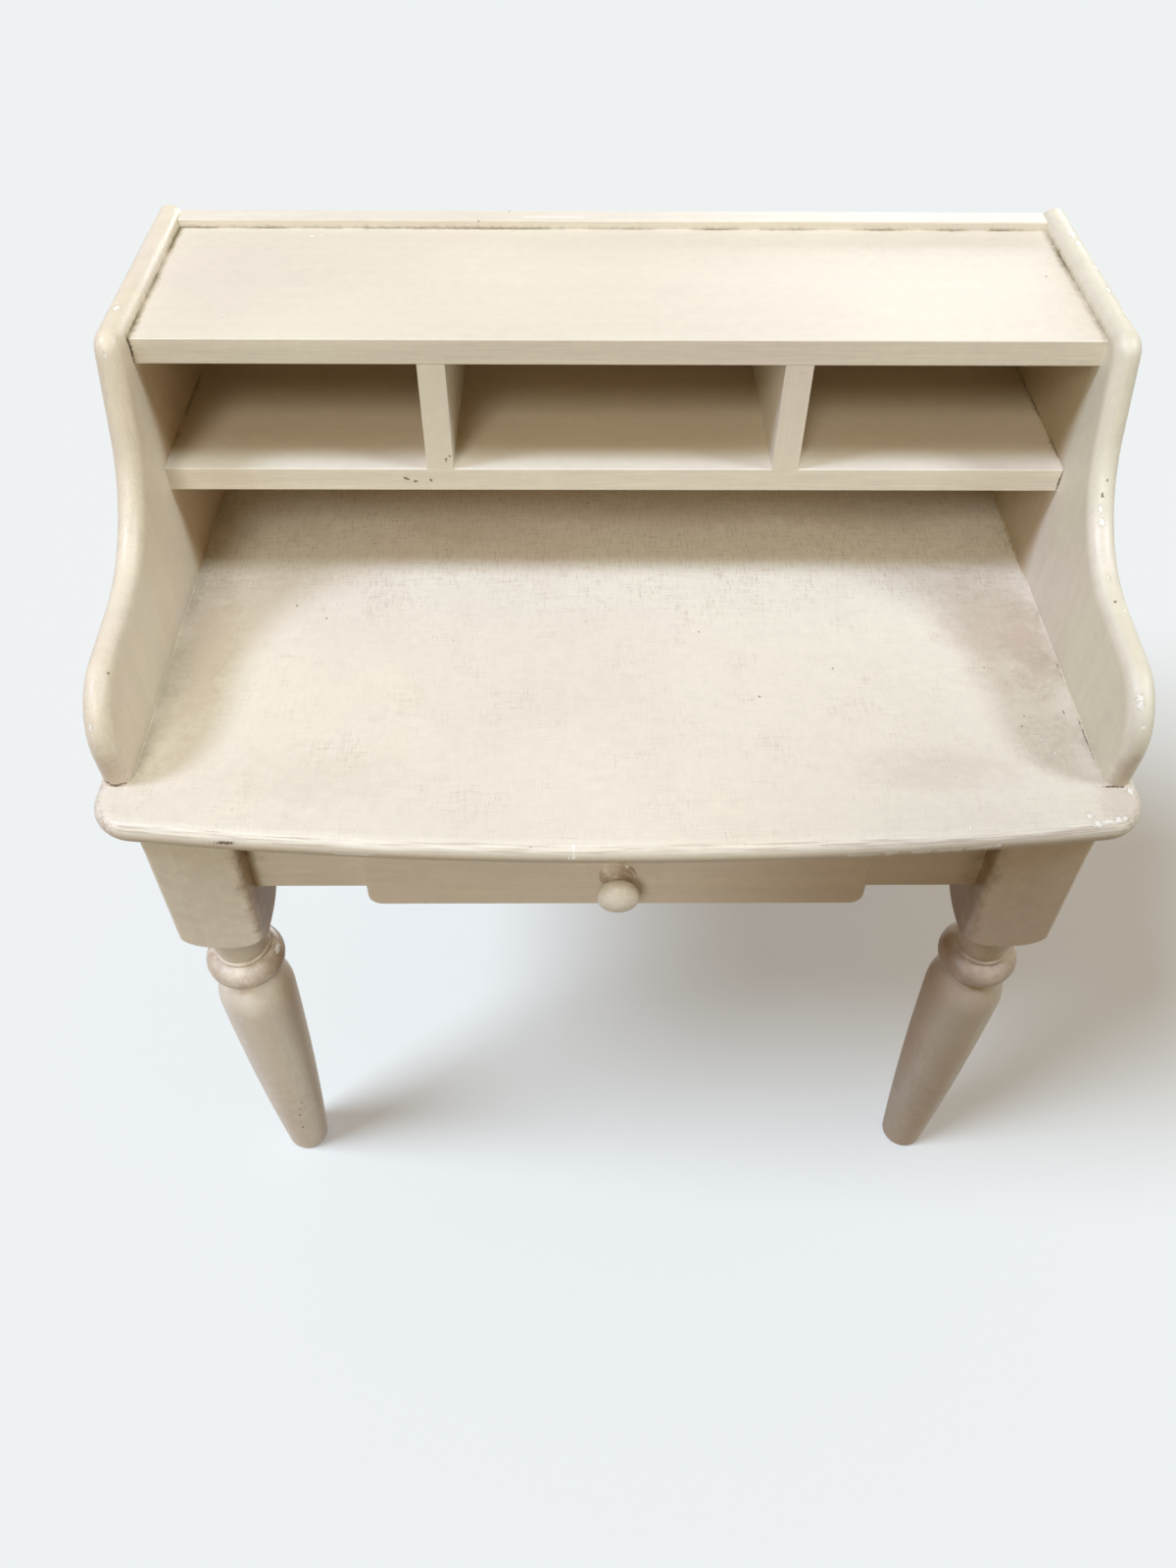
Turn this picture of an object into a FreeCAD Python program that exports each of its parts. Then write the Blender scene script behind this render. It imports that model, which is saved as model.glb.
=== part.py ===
"""Bonheur du jour: a small painted writing desk with a gallery of pigeonholes.

Frame: origin on the floor under the middle of the desk, +X to the sitter's
right, +Y to the back, +Z up, millimetres.
"""
import FreeCAD, Part
import math
import os
import re

import Sketcher
from FreeCAD import Placement, Rotation, Vector

# ---------------------------------------------------------------- dimensions
SIZES = {
    # writing top
    "desk_height": 756,            # floor to the writing surface
    "top_width": 1029,             # across the rounded side edges
    "top_depth": 668,              # rear edge to the middle of the bowed front
    "top_thick": 28,
    "top_bow_radius": 4100,        # sweep of the bowed front edge
    "top_corner_radius": 45,       # front corners in plan
    "nose_flat": 0.6,              # flat between the two quarter rounds of a rounded edge
    # legs
    "leg_square": 91,
    "leg_edge_round": 6,           # rounding of the block's upright edges
    "leg_inset_side": 41.5,          # side edge of the top to the leg's outer face
    "leg_inset_front": 41.5,       # middle of the bow to the leg's front face
    "leg_inset_rear": 25,
    "leg_block_length": 195,       # top of the leg to the lower end of its square
    "pommel_rise": 35,             # rounded corners under the square
    "pommel_round": 30,
    "neck_top_radius": 39,
    "neck_length": 54,
    "neck_radius": 29,
    "collar_height": 6,
    "collar_bulge": 2.6,
    "bead_height": 35,
    "bead_bulge": 16,              # how far the bead stands out from the neck
    "quirk_height": 3,             # the narrow groove under the bead
    "vase_radius": 45.2,
    "vase_shoulder_height": 52,
    "vase_sweep": 6900,            # the long taper swells slightly
    "foot_radius": 27,
    "foot_round": 6,
    # apron frame
    "apron_height": 116,
    "apron_thick": 20,
    "apron_setback": 26.5,         # leg face to apron face
    "tenon_length": 26,
    "tenon_thick": 10,
    "tenon_shoulder": 14,          # above and below a tenon
    "tenon_clearance": 0.2,
    "board_ease": 1.5,             # softened edge of a board
    # drawer and what carries it
    "drawer_front_width": 528,
    "drawer_front_drop": 24,       # how far the drawer front hangs below the apron
    "drawer_front_gap": 2,         # writing top to drawer front
    "drawer_front_thick": 20,
    "drawer_lip": 7,               # the part of the front that stands before the apron
    "drawer_lip_overlap": 12,      # how far the lip covers the apron at each side
    "drawer_stop_gap": 0.4,        # back of the lip to the apron when the drawer is shut
    "drawer_corner_radius": 14,
    "drawer_edge_round": 3,
    "drawer_side_gap": 1.5,
    "drawer_top_gap": 2,
    "slide_gap": 0.4,              # drawer to what it runs on
    "drawer_rail_top_height": 14,
    "drawer_rail_bottom_height": 12,
    "drawer_length": 420,
    "drawer_side_thick": 12,
    "drawer_bottom_thick": 6,
    "drawer_bottom_lift": 6,      # lower edge of a side to its groove
    "drawer_groove_depth": 5,
    "groove_gap": 0.2,
    "groove_run_out": 1,           # how far the groove's cutter runs past the wood
    "runner_width": 30,
    "runner_inside": 16,           # how far a runner reaches in under the drawer
    "guide_height": 30,
    # knob
    "knob_base_radius": 19,
    "knob_base_length": 5,
    "knob_ring_radius": 16,
    "knob_ring_length": 3,
    "knob_neck_radius": 11,
    "knob_neck_length": 10,
    "knob_head_radius": 27,        # to the rim before it is rounded
    "knob_head_back": 9,           # neck to the rim
    "knob_head_front": 16,         # rim to the middle of the domed face
    "knob_rim_round": 9,
    "knob_screw_bite": 18,         # length of screw in the knob
    "knob_screw_clearance": 1.1,   # drawer floor to the screw's head
    # gallery
    "gallery_inset_side": 7,       # side edge of the top to the side panel's outer face
    "gallery_side_thick": 28,
    "gallery_height": 311,         # writing surface to the top of the sides
    "side_shoulder_reach": 291,    # rear edge to the corners of the side's sawn outline
    "side_waist_reach": 352,
    "side_waist_height": 126,
    "side_belly_reach": 594,
    "side_belly_height": 107,
    "side_foot_reach": 588,
    "side_shoulder_round": 24,
    "side_waist_round": 150,
    "side_belly_round": 72,
    "shelf_thick": 27,
    "shelf_front_reach": 267.5,    # rear edge to the shelves' front edge
    "top_shelf_height": 296.5,     # writing surface to the upper face
    "lower_shelf_height": 149.3,
    "gallery_back_thick": 25,
    "ledge_height": 9.3,           # how far the back stands above the upper shelf
    "divider_thick": 28,
    "divider_left_distance": 187,  # middle of the desk to the middle of the divider
    "divider_right_distance": 180.5,
    # glue blocks and fasteners
    "block_length": 60,
    "block_square": 26,
    "block_place": 150,            # middle of the desk to the rear blocks
    "front_block_gap": 20,         # front block to the drawer guide and to the leg
    "dowel_radius": 4,
    "dowel_length": 32,
    "dowel_gap": 0.1,
    "dowel_inset": 40,             # front and rear edge of a board to its dowels
    "drawer_dowel_inset": 12,      # drawer floor and drawer's upper edge to its dowels
    "screw_radius": 2.2,
    "screw_head_radius": 4.5,
    "screw_head_height": 3,
    "block_screw_bite": 16,        # length of screw in the writing top
    "gallery_screw_bite": 30,
    "gallery_screw_inset": 60,
    "screw_gap": 0.1,
}

DERIVED = {
    "rear": "top_depth / 2",
    "front": "0 - top_depth / 2",
    "top_under": "desk_height - top_thick",
    "half_leg": "leg_square / 2",
    "leg_side_axis": "top_width / 2 - leg_inset_side - half_leg",
    "leg_front_axis": "front + leg_inset_front + half_leg",
    "leg_rear_axis": "rear - leg_inset_rear - half_leg",
    "turning_reach": "half_leg * sqrt(2)",
    "collar_round": "(collar_height ^ 2 / 4 + collar_bulge ^ 2) / (2 * collar_bulge)",
    "bead_round": "(bead_height ^ 2 / 4 + bead_bulge ^ 2) / (2 * bead_bulge)",
    "vase_swell": "vase_radius - neck_radius",
    "vase_round": "(vase_shoulder_height ^ 2 + vase_swell ^ 2) / (2 * vase_swell)",
    "block_end": "top_under - leg_block_length",
    "collar_top": "block_end - neck_length",
    "bead_top": "collar_top - collar_height",
    "bead_end": "bead_top - bead_height",
    "vase_top": "bead_end - quirk_height",
    "vase_widest": "vase_top - vase_shoulder_height",
    "apron_bottom": "top_under - apron_height",
    "apron_face": "leg_front_axis - half_leg + apron_setback",
    "apron_back": "apron_face + apron_thick",
    "rear_apron_front": "leg_rear_axis + half_leg - apron_setback - apron_thick",
    "side_apron_inside": "leg_side_axis + half_leg - apron_setback - apron_thick",
    "apron_span": "2 * (leg_side_axis - half_leg)",
    "side_apron_span": "leg_rear_axis - leg_front_axis - leg_square",
    "tenon_height": "apron_height - 2 * tenon_shoulder",
    "tenon_inset": "(apron_thick - tenon_thick) / 2",
    "opening_half": "drawer_front_width / 2 - drawer_lip_overlap",
    "opening_bottom": "apron_bottom + drawer_rail_bottom_height",
    "opening_top": "top_under - drawer_rail_top_height",
    "drawer_half": "opening_half - drawer_side_gap",
    "drawer_low": "opening_bottom + slide_gap",
    "drawer_high": "opening_top - drawer_top_gap",
    "drawer_lip_back": "apron_face - drawer_stop_gap",
    "drawer_face": "drawer_lip_back - drawer_lip",
    "drawer_box_front": "drawer_face + drawer_front_thick",
    "drawer_box_rear": "drawer_box_front + drawer_length",
    "drawer_front_low": "apron_bottom - drawer_front_drop",
    "drawer_front_high": "top_under - drawer_front_gap",
    "drawer_floor_low": "drawer_low + drawer_bottom_lift",
    "drawer_floor_high": "drawer_floor_low + drawer_bottom_thick",
    "drawer_inner_half": "drawer_half - drawer_side_thick",
    "knob_height": "drawer_floor_high + knob_screw_clearance + screw_head_radius",
    "knob_length": "knob_base_length + knob_ring_length + knob_neck_length + knob_head_back + knob_head_front",
    "gallery_half": "top_width / 2 - gallery_inset_side - gallery_side_thick",
    "shelf_front": "rear - shelf_front_reach",
    "back_front": "rear - gallery_back_thick",
    "shelf_depth": "shelf_front_reach - gallery_back_thick",
    "top_shelf_low": "desk_height + top_shelf_height - shelf_thick",
    "lower_shelf_low": "desk_height + lower_shelf_height - shelf_thick",
    "pigeonhole_low": "desk_height + lower_shelf_height",
    "back_height": "top_shelf_height + ledge_height",
    "screw_head_low": "top_under - block_square - screw_head_height",
}

SAME = 0.01    # two lengths closer than this are the same length
RUNS = 1       # an edge that covers more than this along an axis runs along it

doc = FreeCAD.newDocument("bonheur_du_jour")
sheet = doc.addObject("Spreadsheet::Sheet", "Sizes")
scratch = doc.addObject("Spreadsheet::Sheet", "Scratch")
parts = {}


def fill_sheet():
    """Write every size and every worked-out size into the sheet under its own name."""
    cells = [(name, str(value)) for name, value in SIZES.items()]
    cells += [(name, "=" + formula) for name, formula in DERIVED.items()]
    for row, (name, content) in enumerate(cells, start=1):
        sheet.set(f"A{row}", name)
        sheet.set(f"B{row}", content)
        sheet.setAlias(f"B{row}", name)
    doc.recompute()


def linked(formula):
    """Point a formula's names at the sheet."""
    return re.sub(
        r"[a-z_]+",
        lambda word: "Sizes." + word[0] if word[0] in SIZES or word[0] in DERIVED else word[0],
        formula,
    )


def number(formula):
    """Work a formula out in a scratch cell."""
    scratch.set("A1", "=" + linked(formula))
    scratch.recompute()
    return float(scratch.get("A1"))


def bind(thing, setting, formula):
    """Bind one property of an object to a formula of sheet names."""
    thing.setExpression(setting, linked(formula))


def place(thing, corner):
    """Bind where an object stands."""
    for axis, formula in zip("xyz", corner):
        bind(thing, f"Placement.Base.{axis}", formula)


def keep(name, thing):
    """Name a finished piece."""
    thing.Label = name
    parts[name] = thing
    return thing


# ------------------------------------------------------------------ solids
def box(name, corner, size):
    """Rectangular stock from its low corner, all six values formulas."""
    block = doc.addObject("Part::Box", name)
    for setting, formula in zip(("Length", "Width", "Height"), size):
        bind(block, setting, formula)
    place(block, corner)
    return block


TURNS = {
    "+x": Rotation(Vector(0, 1, 0), 90),
    "+y": Rotation(Vector(1, 0, 0), -90),
    "-y": Rotation(Vector(1, 0, 0), 90),
    "+z": Rotation(),
}


def rod(name, start, along, radius, length):
    """Round stock from the middle of its first end."""
    cylinder = doc.addObject("Part::Cylinder", name)
    cylinder.Placement = Placement(Vector(), TURNS[along])
    bind(cylinder, "Radius", radius)
    bind(cylinder, "Height", length)
    place(cylinder, start)
    return cylinder


def fuse(name, shapes):
    """Join solids into one."""
    joined = doc.addObject("Part::MultiFuse", name)
    joined.Shapes = shapes
    return joined


def group(name, shapes):
    """Hold solids together in one node without joining them."""
    together = doc.addObject("Part::Compound", name)
    together.Links = shapes
    return together


def cut(name, base, tool):
    """Take one solid out of another."""
    result = doc.addObject("Part::Cut", name)
    result.Base = base
    result.Tool = tool
    return result


def sketch_on(body, name, plane):
    """Start a sketch on one of the body's own origin planes."""
    sketch = body.newObject("Sketcher::SketchObject", name)
    support = [item for item in body.Origin.OriginFeatures if item.Role == plane]
    sketch.AttachmentSupport = [(support[0], "")]
    sketch.MapMode = "FlatFace"
    return sketch


def arc_between(start, end, radius):
    """Arc from start to end; a plus radius bulges it to the left of the way, a minus to the right."""
    chord = end - start
    left = Vector(-chord.y, chord.x, 0).normalize()
    side = 1 if radius > 0 else -1
    rise = math.sqrt(radius * radius - chord.Length * chord.Length / 4)
    middle = (start + end) / 2 - left * rise * side
    turn = Part.Circle(middle, Vector(0, 0, 1), abs(radius))
    angles = [math.atan2(p.y - middle.y, p.x - middle.x) for p in (start, end)]
    if side > 0:
        angles.reverse()
    return Part.ArcOfCircle(turn, angles[0], angles[1])


def outline(sketch, corners, arcs=None):
    """Close a sketch through corners given as formulas.

    arcs gives the side that starts at a corner a radius formula: a plus radius
    bulges the side to the left of the way round, a minus radius to the right.
    """
    arcs = arcs or {}
    points = [Vector(number(x), number(y), 0) for x, y in corners]
    ends = []
    for index, start in enumerate(points):
        end = points[(index + 1) % len(points)]
        if index in arcs:
            radius = number(arcs[index])
            sketch.addGeometry(arc_between(start, end, radius), False)
            ends.append((2, 1) if radius > 0 else (1, 2))
        else:
            sketch.addGeometry(Part.LineSegment(start, end), False)
            ends.append((1, 2))
    for index, (first, last) in enumerate(ends):
        following = (index + 1) % len(ends)
        sketch.addConstraint(
            Sketcher.Constraint("Coincident", index, last, following, ends[following][0]))
    for index, (x, y) in enumerate(corners):
        for direction, formula in (("DistanceX", x), ("DistanceY", y)):
            fixed = sketch.addConstraint(
                Sketcher.Constraint(direction, -1, 1, index, ends[index][0], number(formula)))
            bind(sketch, f"Constraints[{fixed}]", formula)
    for index, formula in arcs.items():
        size = formula if number(formula) > 0 else f"0 - ({formula})"
        bent = sketch.addConstraint(Sketcher.Constraint("Radius", index, number(size)))
        bind(sketch, f"Constraints[{bent}]", size)


def new_body(name):
    """An empty body for a piece that is sawn, turned and rounded."""
    return doc.addObject("PartDesign::Body", name)


def pad(body, name, sketch, length):
    """Give a sketch its thickness."""
    feature = body.newObject("PartDesign::Pad", name)
    feature.Profile = (sketch, [""])
    bind(feature, "Length", length)
    doc.recompute()
    return feature


def round_edges(body, name, radius, wanted):
    """Round the edges of the body's tip that the test picks."""
    tip = body.Tip
    names = [f"Edge{i}" for i, edge in enumerate(tip.Shape.Edges, start=1) if wanted(edge)]
    feature = body.newObject("PartDesign::Fillet", name)
    feature.Base = (tip, names)
    bind(feature, "Radius", radius)
    doc.recompute()
    return feature


def runs(edge, axis):
    """True for an edge that covers some length along one axis."""
    return getattr(edge.BoundBox, axis.upper() + "Length") > RUNS


def square_to(edge, axis):
    """True for an edge that lies in a plane square to one axis."""
    return getattr(edge.BoundBox, axis.upper() + "Length") < SAME


def near(value, target):
    """True where two lengths are the same for an edge test."""
    return abs(value - target) < SAME


def board(name, corner, size, eased):
    """A planed board whose listed long edges are softened.

    eased holds (side, level) pairs: side is front or rear, level is top or bottom.
    """
    body = new_body(name)
    length, depth, height = size
    sketch = sketch_on(body, name + "_plan", "XY_Plane")
    outline(sketch, [("0", "0"), (length, "0"), (length, depth), ("0", depth)])
    pad(body, name + "_pad", sketch, height)
    heights = {"bottom": 0.0, "top": number(height)}
    depths = {"front": 0.0, "rear": number(depth)}
    lines = [(depths[side], heights[level]) for side, level in eased]

    def on_listed_line(edge):
        middle = edge.CenterOfMass
        return runs(edge, "x") and any(near(middle.y, y) and near(middle.z, z) for y, z in lines)

    round_edges(body, name + "_ease", "board_ease", on_listed_line)
    place(body, corner)
    return body


# ------------------------------------------------------------- fastener sets
def dowel_set(name, joints):
    """Dowels from (direction, middle of the dowel) pairs, and the holes that take them."""
    dowels, holes = [], []
    for number_of, (along, middle) in enumerate(joints, start=1):
        back_off = {"+x": 0, "+y": 1, "+z": 2}[along]
        for kind, radius, length, store in (
            ("dowel", "dowel_radius", "dowel_length", dowels),
            ("hole", "dowel_radius + dowel_gap", "dowel_length + 2 * dowel_gap", holes),
        ):
            start = list(middle)
            start[back_off] = f"{middle[back_off]} - ({length}) / 2"
            store.append(rod(f"{name}_{kind}_{number_of}", start, along, radius, length))
    keep(name, group(name, dowels))
    return group(name + "_holes", holes)


def screw_set(name, along, heads, length):
    """Pan-head screws from the underside of their heads, and the holes for their shanks."""
    axis = 2 if along == "+z" else 1
    away = "+" if along == "-y" else "-"
    screws, holes = [], []
    for number_of, seat in enumerate(heads, start=1):
        back = list(seat)
        back[axis] = f"{seat[axis]} {away} screw_head_height"
        label = f"{name}_{number_of}"
        shank = rod(label + "_shank", seat, along, "screw_radius", length)
        head = rod(label + "_head", back, along, "screw_head_radius", "screw_head_height")
        screws.append(fuse(label, [shank, head]))
        holes.append(rod(label + "_hole", seat, along, "screw_radius + screw_gap", f"{length} + screw_gap"))
    keep(name, group(name, screws))
    return group(name + "_holes", holes)


# --------------------------------------------------------------- writing top
def make_writing_top(holes):
    """Bow-fronted board, its front and side edges fully rounded."""
    body = new_body("writing_top_board")
    plan = sketch_on(body, "writing_top_plan", "XY_Plane")
    half = "top_width / 2"
    bow = "(top_bow_radius - sqrt(top_bow_radius ^ 2 - top_width ^ 2 / 4))"
    outline(
        plan,
        [("0 - " + half, f"front + {bow}"), (half, f"front + {bow}"), (half, "rear"), ("0 - " + half, "rear")],
        {0: "0 - top_bow_radius"},
    )
    pad(body, "writing_top_pad", plan, "top_thick")
    rear = number("rear")
    round_edges(
        body, "writing_top_corners", "top_corner_radius",
        lambda edge: runs(edge, "z") and edge.CenterOfMass.y < 0)
    round_edges(
        body, "writing_top_nose", "(top_thick - nose_flat) / 2",
        lambda edge: square_to(edge, "z") and edge.BoundBox.YMin < rear - SAME)
    place(body, ("0", "0", "top_under"))
    keep("writing_top", cut("writing_top", body, holes))


# ---------------------------------------------------------------------- legs
def make_leg(name, side, end, mortises):
    """A square leg whose lower part is turned: neck, collar, bead and tapered vase.

    side is -1 or 1 across the desk, end is front or rear.
    """
    body = new_body(name + "_turned")
    blank = sketch_on(body, name + "_square", "XY_Plane")
    low, high = "0 - half_leg", "half_leg"
    outline(blank, [(low, low), (high, low), (high, high), (low, high)])
    pad(body, name + "_blank", blank, "top_under")
    round_edges(body, name + "_arrises", "leg_edge_round", lambda edge: runs(edge, "z"))

    waste = sketch_on(body, name + "_waste", "XZ_Plane")
    outline(
        waste,
        [
            ("foot_radius - foot_round", "0"),
            ("turning_reach", "0"),
            ("turning_reach", "block_end + pommel_rise"),
            ("neck_top_radius", "block_end"),
            ("neck_radius", "collar_top"),
            ("neck_radius", "bead_top"),
            ("neck_radius", "bead_end"),
            ("neck_radius", "vase_top"),
            ("vase_radius", "vase_widest"),
            ("foot_radius", "foot_round"),
        ],
        {
            2: "pommel_round",
            4: "collar_round",
            5: "bead_round",
            7: "vase_round",
            8: "vase_sweep",
            9: "foot_round",
        },
    )
    turning = body.newObject("PartDesign::Groove", name + "_turning")
    turning.Profile = (waste, [""])
    turning.ReferenceAxis = (waste, ["V_Axis"])
    turning.Angle = 360
    doc.recompute()
    place(body, (f"{side} * leg_side_axis", f"leg_{end}_axis", "0"))
    keep(name, cut(name, body, mortises))


# -------------------------------------------------------------- apron frame
def apron(name, corner, size, tenon_corner, tenon_size):
    """A board with a thinner tenon through its length, and the mortises that take it."""
    wide = "2 * tenon_clearance"
    plank = box(name + "_board", corner, size)
    tongue = box(name + "_tongue", tenon_corner, tenon_size)
    mortise = box(
        name + "_mortise",
        [f"{value} - tenon_clearance" for value in tenon_corner],
        [f"{value} + {wide}" for value in tenon_size])
    keep(name, fuse(name, [plank, tongue]))
    return mortise


def make_side_apron(name, side):
    """The apron between a front and a rear leg."""
    inside = "side_apron_inside" if side > 0 else "0 - side_apron_inside - apron_thick"
    start = "leg_front_axis + half_leg"
    return apron(
        name,
        (inside, start, "apron_bottom"),
        ("apron_thick", "side_apron_span", "apron_height"),
        (f"{inside} + tenon_inset", f"{start} - tenon_length", "apron_bottom + tenon_shoulder"),
        ("tenon_thick", "side_apron_span + 2 * tenon_length", "tenon_height"))


def make_rear_apron():
    """The apron between the rear legs."""
    start = "0 - apron_span / 2"
    return apron(
        "rear_apron",
        (start, "rear_apron_front", "apron_bottom"),
        ("apron_span", "apron_thick", "apron_height"),
        (f"{start} - tenon_length", "rear_apron_front + tenon_inset", "apron_bottom + tenon_shoulder"),
        ("apron_span + 2 * tenon_length", "tenon_thick", "tenon_height"))


def make_front_apron(name, side):
    """One of the two boards beside the drawer, tenoned into its leg."""
    width = "(apron_span / 2 - opening_half)"
    start = "opening_half" if side > 0 else "0 - apron_span / 2"
    tongue_start = start if side > 0 else f"{start} - tenon_length"
    return apron(
        name,
        (start, "apron_face", "apron_bottom"),
        (width, "apron_thick", "apron_height"),
        (tongue_start, "apron_face + tenon_inset", "apron_bottom + tenon_shoulder"),
        (f"{width} + tenon_length", "tenon_thick", "tenon_height"))


def make_drawer_rails():
    """The rails over and under the drawer opening."""
    start, width = "0 - opening_half", "2 * opening_half"
    keep("drawer_rail_top", box(
        "drawer_rail_top", (start, "apron_face", "opening_top"),
        (width, "apron_thick", "drawer_rail_top_height")))
    keep("drawer_rail_bottom", box(
        "drawer_rail_bottom", (start, "apron_face", "apron_bottom"),
        (width, "apron_thick", "drawer_rail_bottom_height")))


def make_drawer_supports(name, side):
    """A runner under the drawer's side, a guide beside it and a kicker above it."""
    length = "(rear_apron_front - apron_back)"
    low = "opening_half - runner_inside"
    runner_x = low if side > 0 else f"0 - ({low}) - runner_width"
    guide_width = "(runner_width - runner_inside)"
    guide_x = "opening_half" if side > 0 else f"0 - opening_half - {guide_width}"
    keep(f"drawer_runner_{name}", box(
        f"drawer_runner_{name}", (runner_x, "apron_back", "apron_bottom"),
        ("runner_width", length, "drawer_rail_bottom_height")))
    keep(f"drawer_guide_{name}", box(
        f"drawer_guide_{name}", (guide_x, "apron_back", "opening_bottom"),
        (guide_width, length, "guide_height")))
    keep(f"drawer_kicker_{name}", box(
        f"drawer_kicker_{name}", (runner_x, "apron_back", "opening_top"),
        ("runner_width", length, "drawer_rail_top_height")))


# -------------------------------------------------------------------- drawer
def make_drawer_front(holes):
    """Lipped front: the lip covers the opening's edges, the block behind it goes in."""
    body = new_body("drawer_front_lip")
    face = sketch_on(body, "drawer_front_face", "XZ_Plane")
    half = "drawer_front_width / 2"
    outline(face, [
        ("0 - " + half, "drawer_front_low"), (half, "drawer_front_low"),
        (half, "drawer_front_high"), ("0 - " + half, "drawer_front_high")])
    pad(body, "drawer_front_pad", face, "drawer_lip")
    middle = number("(drawer_front_low + drawer_front_high) / 2")
    round_edges(
        body, "drawer_front_corners", "drawer_corner_radius",
        lambda edge: runs(edge, "y") and edge.CenterOfMass.z < middle)
    front = body.Tip.Shape.BoundBox.YMin
    round_edges(
        body, "drawer_front_round", "drawer_edge_round",
        lambda edge: near(edge.BoundBox.YMax, front))
    place(body, ("0", "drawer_lip_back", "0"))
    block = box(
        "drawer_front_block", ("0 - drawer_half", "drawer_lip_back", "drawer_low"),
        ("2 * drawer_half", "drawer_front_thick - drawer_lip", "drawer_high - drawer_low"))
    keep("drawer_front", cut("drawer_front", fuse("drawer_front_whole", [body, block]), holes))


def floor_groove():
    """What the drawer's floor takes out of the front and sides."""
    reach = "(drawer_inner_half + drawer_groove_depth)"
    return box(
        "drawer_floor_groove",
        (f"0 - {reach}", "drawer_box_front - drawer_groove_depth", "drawer_floor_low - groove_gap"),
        (f"2 * {reach}", "drawer_length + drawer_groove_depth + groove_run_out",
         "drawer_bottom_thick + 2 * groove_gap"))


def make_drawer_box(groove, dowel_holes):
    """Sides, back and floor."""
    for name, start in (("left", "0 - drawer_half"), ("right", "drawer_inner_half")):
        plank = box(
            f"drawer_side_{name}_board", (start, "drawer_box_front", "drawer_low"),
            ("drawer_side_thick", "drawer_length", "drawer_high - drawer_low"))
        keep(f"drawer_side_{name}", cut(
            f"drawer_side_{name}", plank, group(f"drawer_side_{name}_cuts", [groove, dowel_holes])))
    rear_plank = box(
        "drawer_back_board",
        ("0 - drawer_inner_half", "drawer_box_rear - drawer_side_thick", "drawer_floor_high + groove_gap"),
        ("2 * drawer_inner_half", "drawer_side_thick", "drawer_high - drawer_floor_high - groove_gap"))
    keep("drawer_back", cut("drawer_back", rear_plank, dowel_holes))
    reach = "(drawer_inner_half + drawer_groove_depth - groove_gap)"
    keep("drawer_bottom", box(
        "drawer_bottom",
        (f"0 - {reach}", "drawer_box_front - drawer_groove_depth + groove_gap", "drawer_floor_low"),
        (f"2 * {reach}", "drawer_length + drawer_groove_depth - groove_gap", "drawer_bottom_thick")))


def make_knob(hole):
    """Turned knob: stepped base, neck and a flattened round head."""
    body = new_body("drawer_knob_turned")
    half = sketch_on(body, "drawer_knob_profile", "XZ_Plane")
    ring = "knob_base_length"
    neck = f"{ring} + knob_ring_length"
    head = f"{neck} + knob_neck_length"
    rim = f"{head} + knob_head_back"
    outline(
        half,
        [
            ("0", "0"), ("knob_base_radius", "0"), ("knob_base_radius", ring),
            ("knob_ring_radius", ring), ("knob_ring_radius", neck), ("knob_neck_radius", neck),
            ("knob_neck_radius", head), ("knob_head_radius", rim), ("0", "knob_length"),
        ],
        {7: "0 - (knob_head_radius ^ 2 + knob_head_front ^ 2) / (2 * knob_head_front)"},
    )
    turning = body.newObject("PartDesign::Revolution", "drawer_knob_turning")
    turning.Profile = (half, [""])
    turning.ReferenceAxis = (half, ["V_Axis"])
    turning.Angle = 360
    doc.recompute()
    widest = number("knob_head_radius")
    round_edges(
        body, "drawer_knob_rim", "knob_rim_round",
        lambda edge: near(edge.BoundBox.XMax, widest) and square_to(edge, "z"))
    body.Placement = Placement(Vector(), TURNS["-y"])
    place(body, ("0", "drawer_face", "knob_height"))
    keep("drawer_knob", cut("drawer_knob", body, hole))


# ------------------------------------------------------------------- gallery
def make_gallery_side(name, side, holes):
    """Sawn side panel: straight top, waist and belly, its free edges fully rounded."""
    body = new_body(f"gallery_side_{name}_board")
    shape = sketch_on(body, f"gallery_side_{name}_outline", "YZ_Plane")
    outline(shape, [
        ("rear", "0"), ("rear", "gallery_height"),
        ("rear - side_shoulder_reach", "gallery_height"),
        ("rear - side_waist_reach", "side_waist_height"),
        ("rear - side_belly_reach", "side_belly_height"),
        ("rear - side_foot_reach", "0")])
    pad(body, f"gallery_side_{name}_pad", shape, "gallery_side_thick")
    for corner in ("shoulder", "waist", "belly"):
        level = "gallery_height" if corner == "shoulder" else f"side_{corner}_height"
        y, z = number(f"rear - side_{corner}_reach"), number(level)
        round_edges(
            body, f"gallery_side_{name}_{corner}", f"side_{corner}_round",
            lambda edge: runs(edge, "x") and near(edge.CenterOfMass.y, y) and near(edge.CenterOfMass.z, z))
    rear = number("rear")
    round_edges(
        body, f"gallery_side_{name}_nose", "(gallery_side_thick - nose_flat) / 2",
        lambda edge: square_to(edge, "x") and edge.BoundBox.YMin < rear - SAME and edge.BoundBox.ZMax > SAME)
    start = "gallery_half" if side > 0 else "0 - gallery_half - gallery_side_thick"
    place(body, (start, "0", "desk_height"))
    keep(f"gallery_side_{name}", cut(f"gallery_side_{name}", body, holes))


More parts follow.
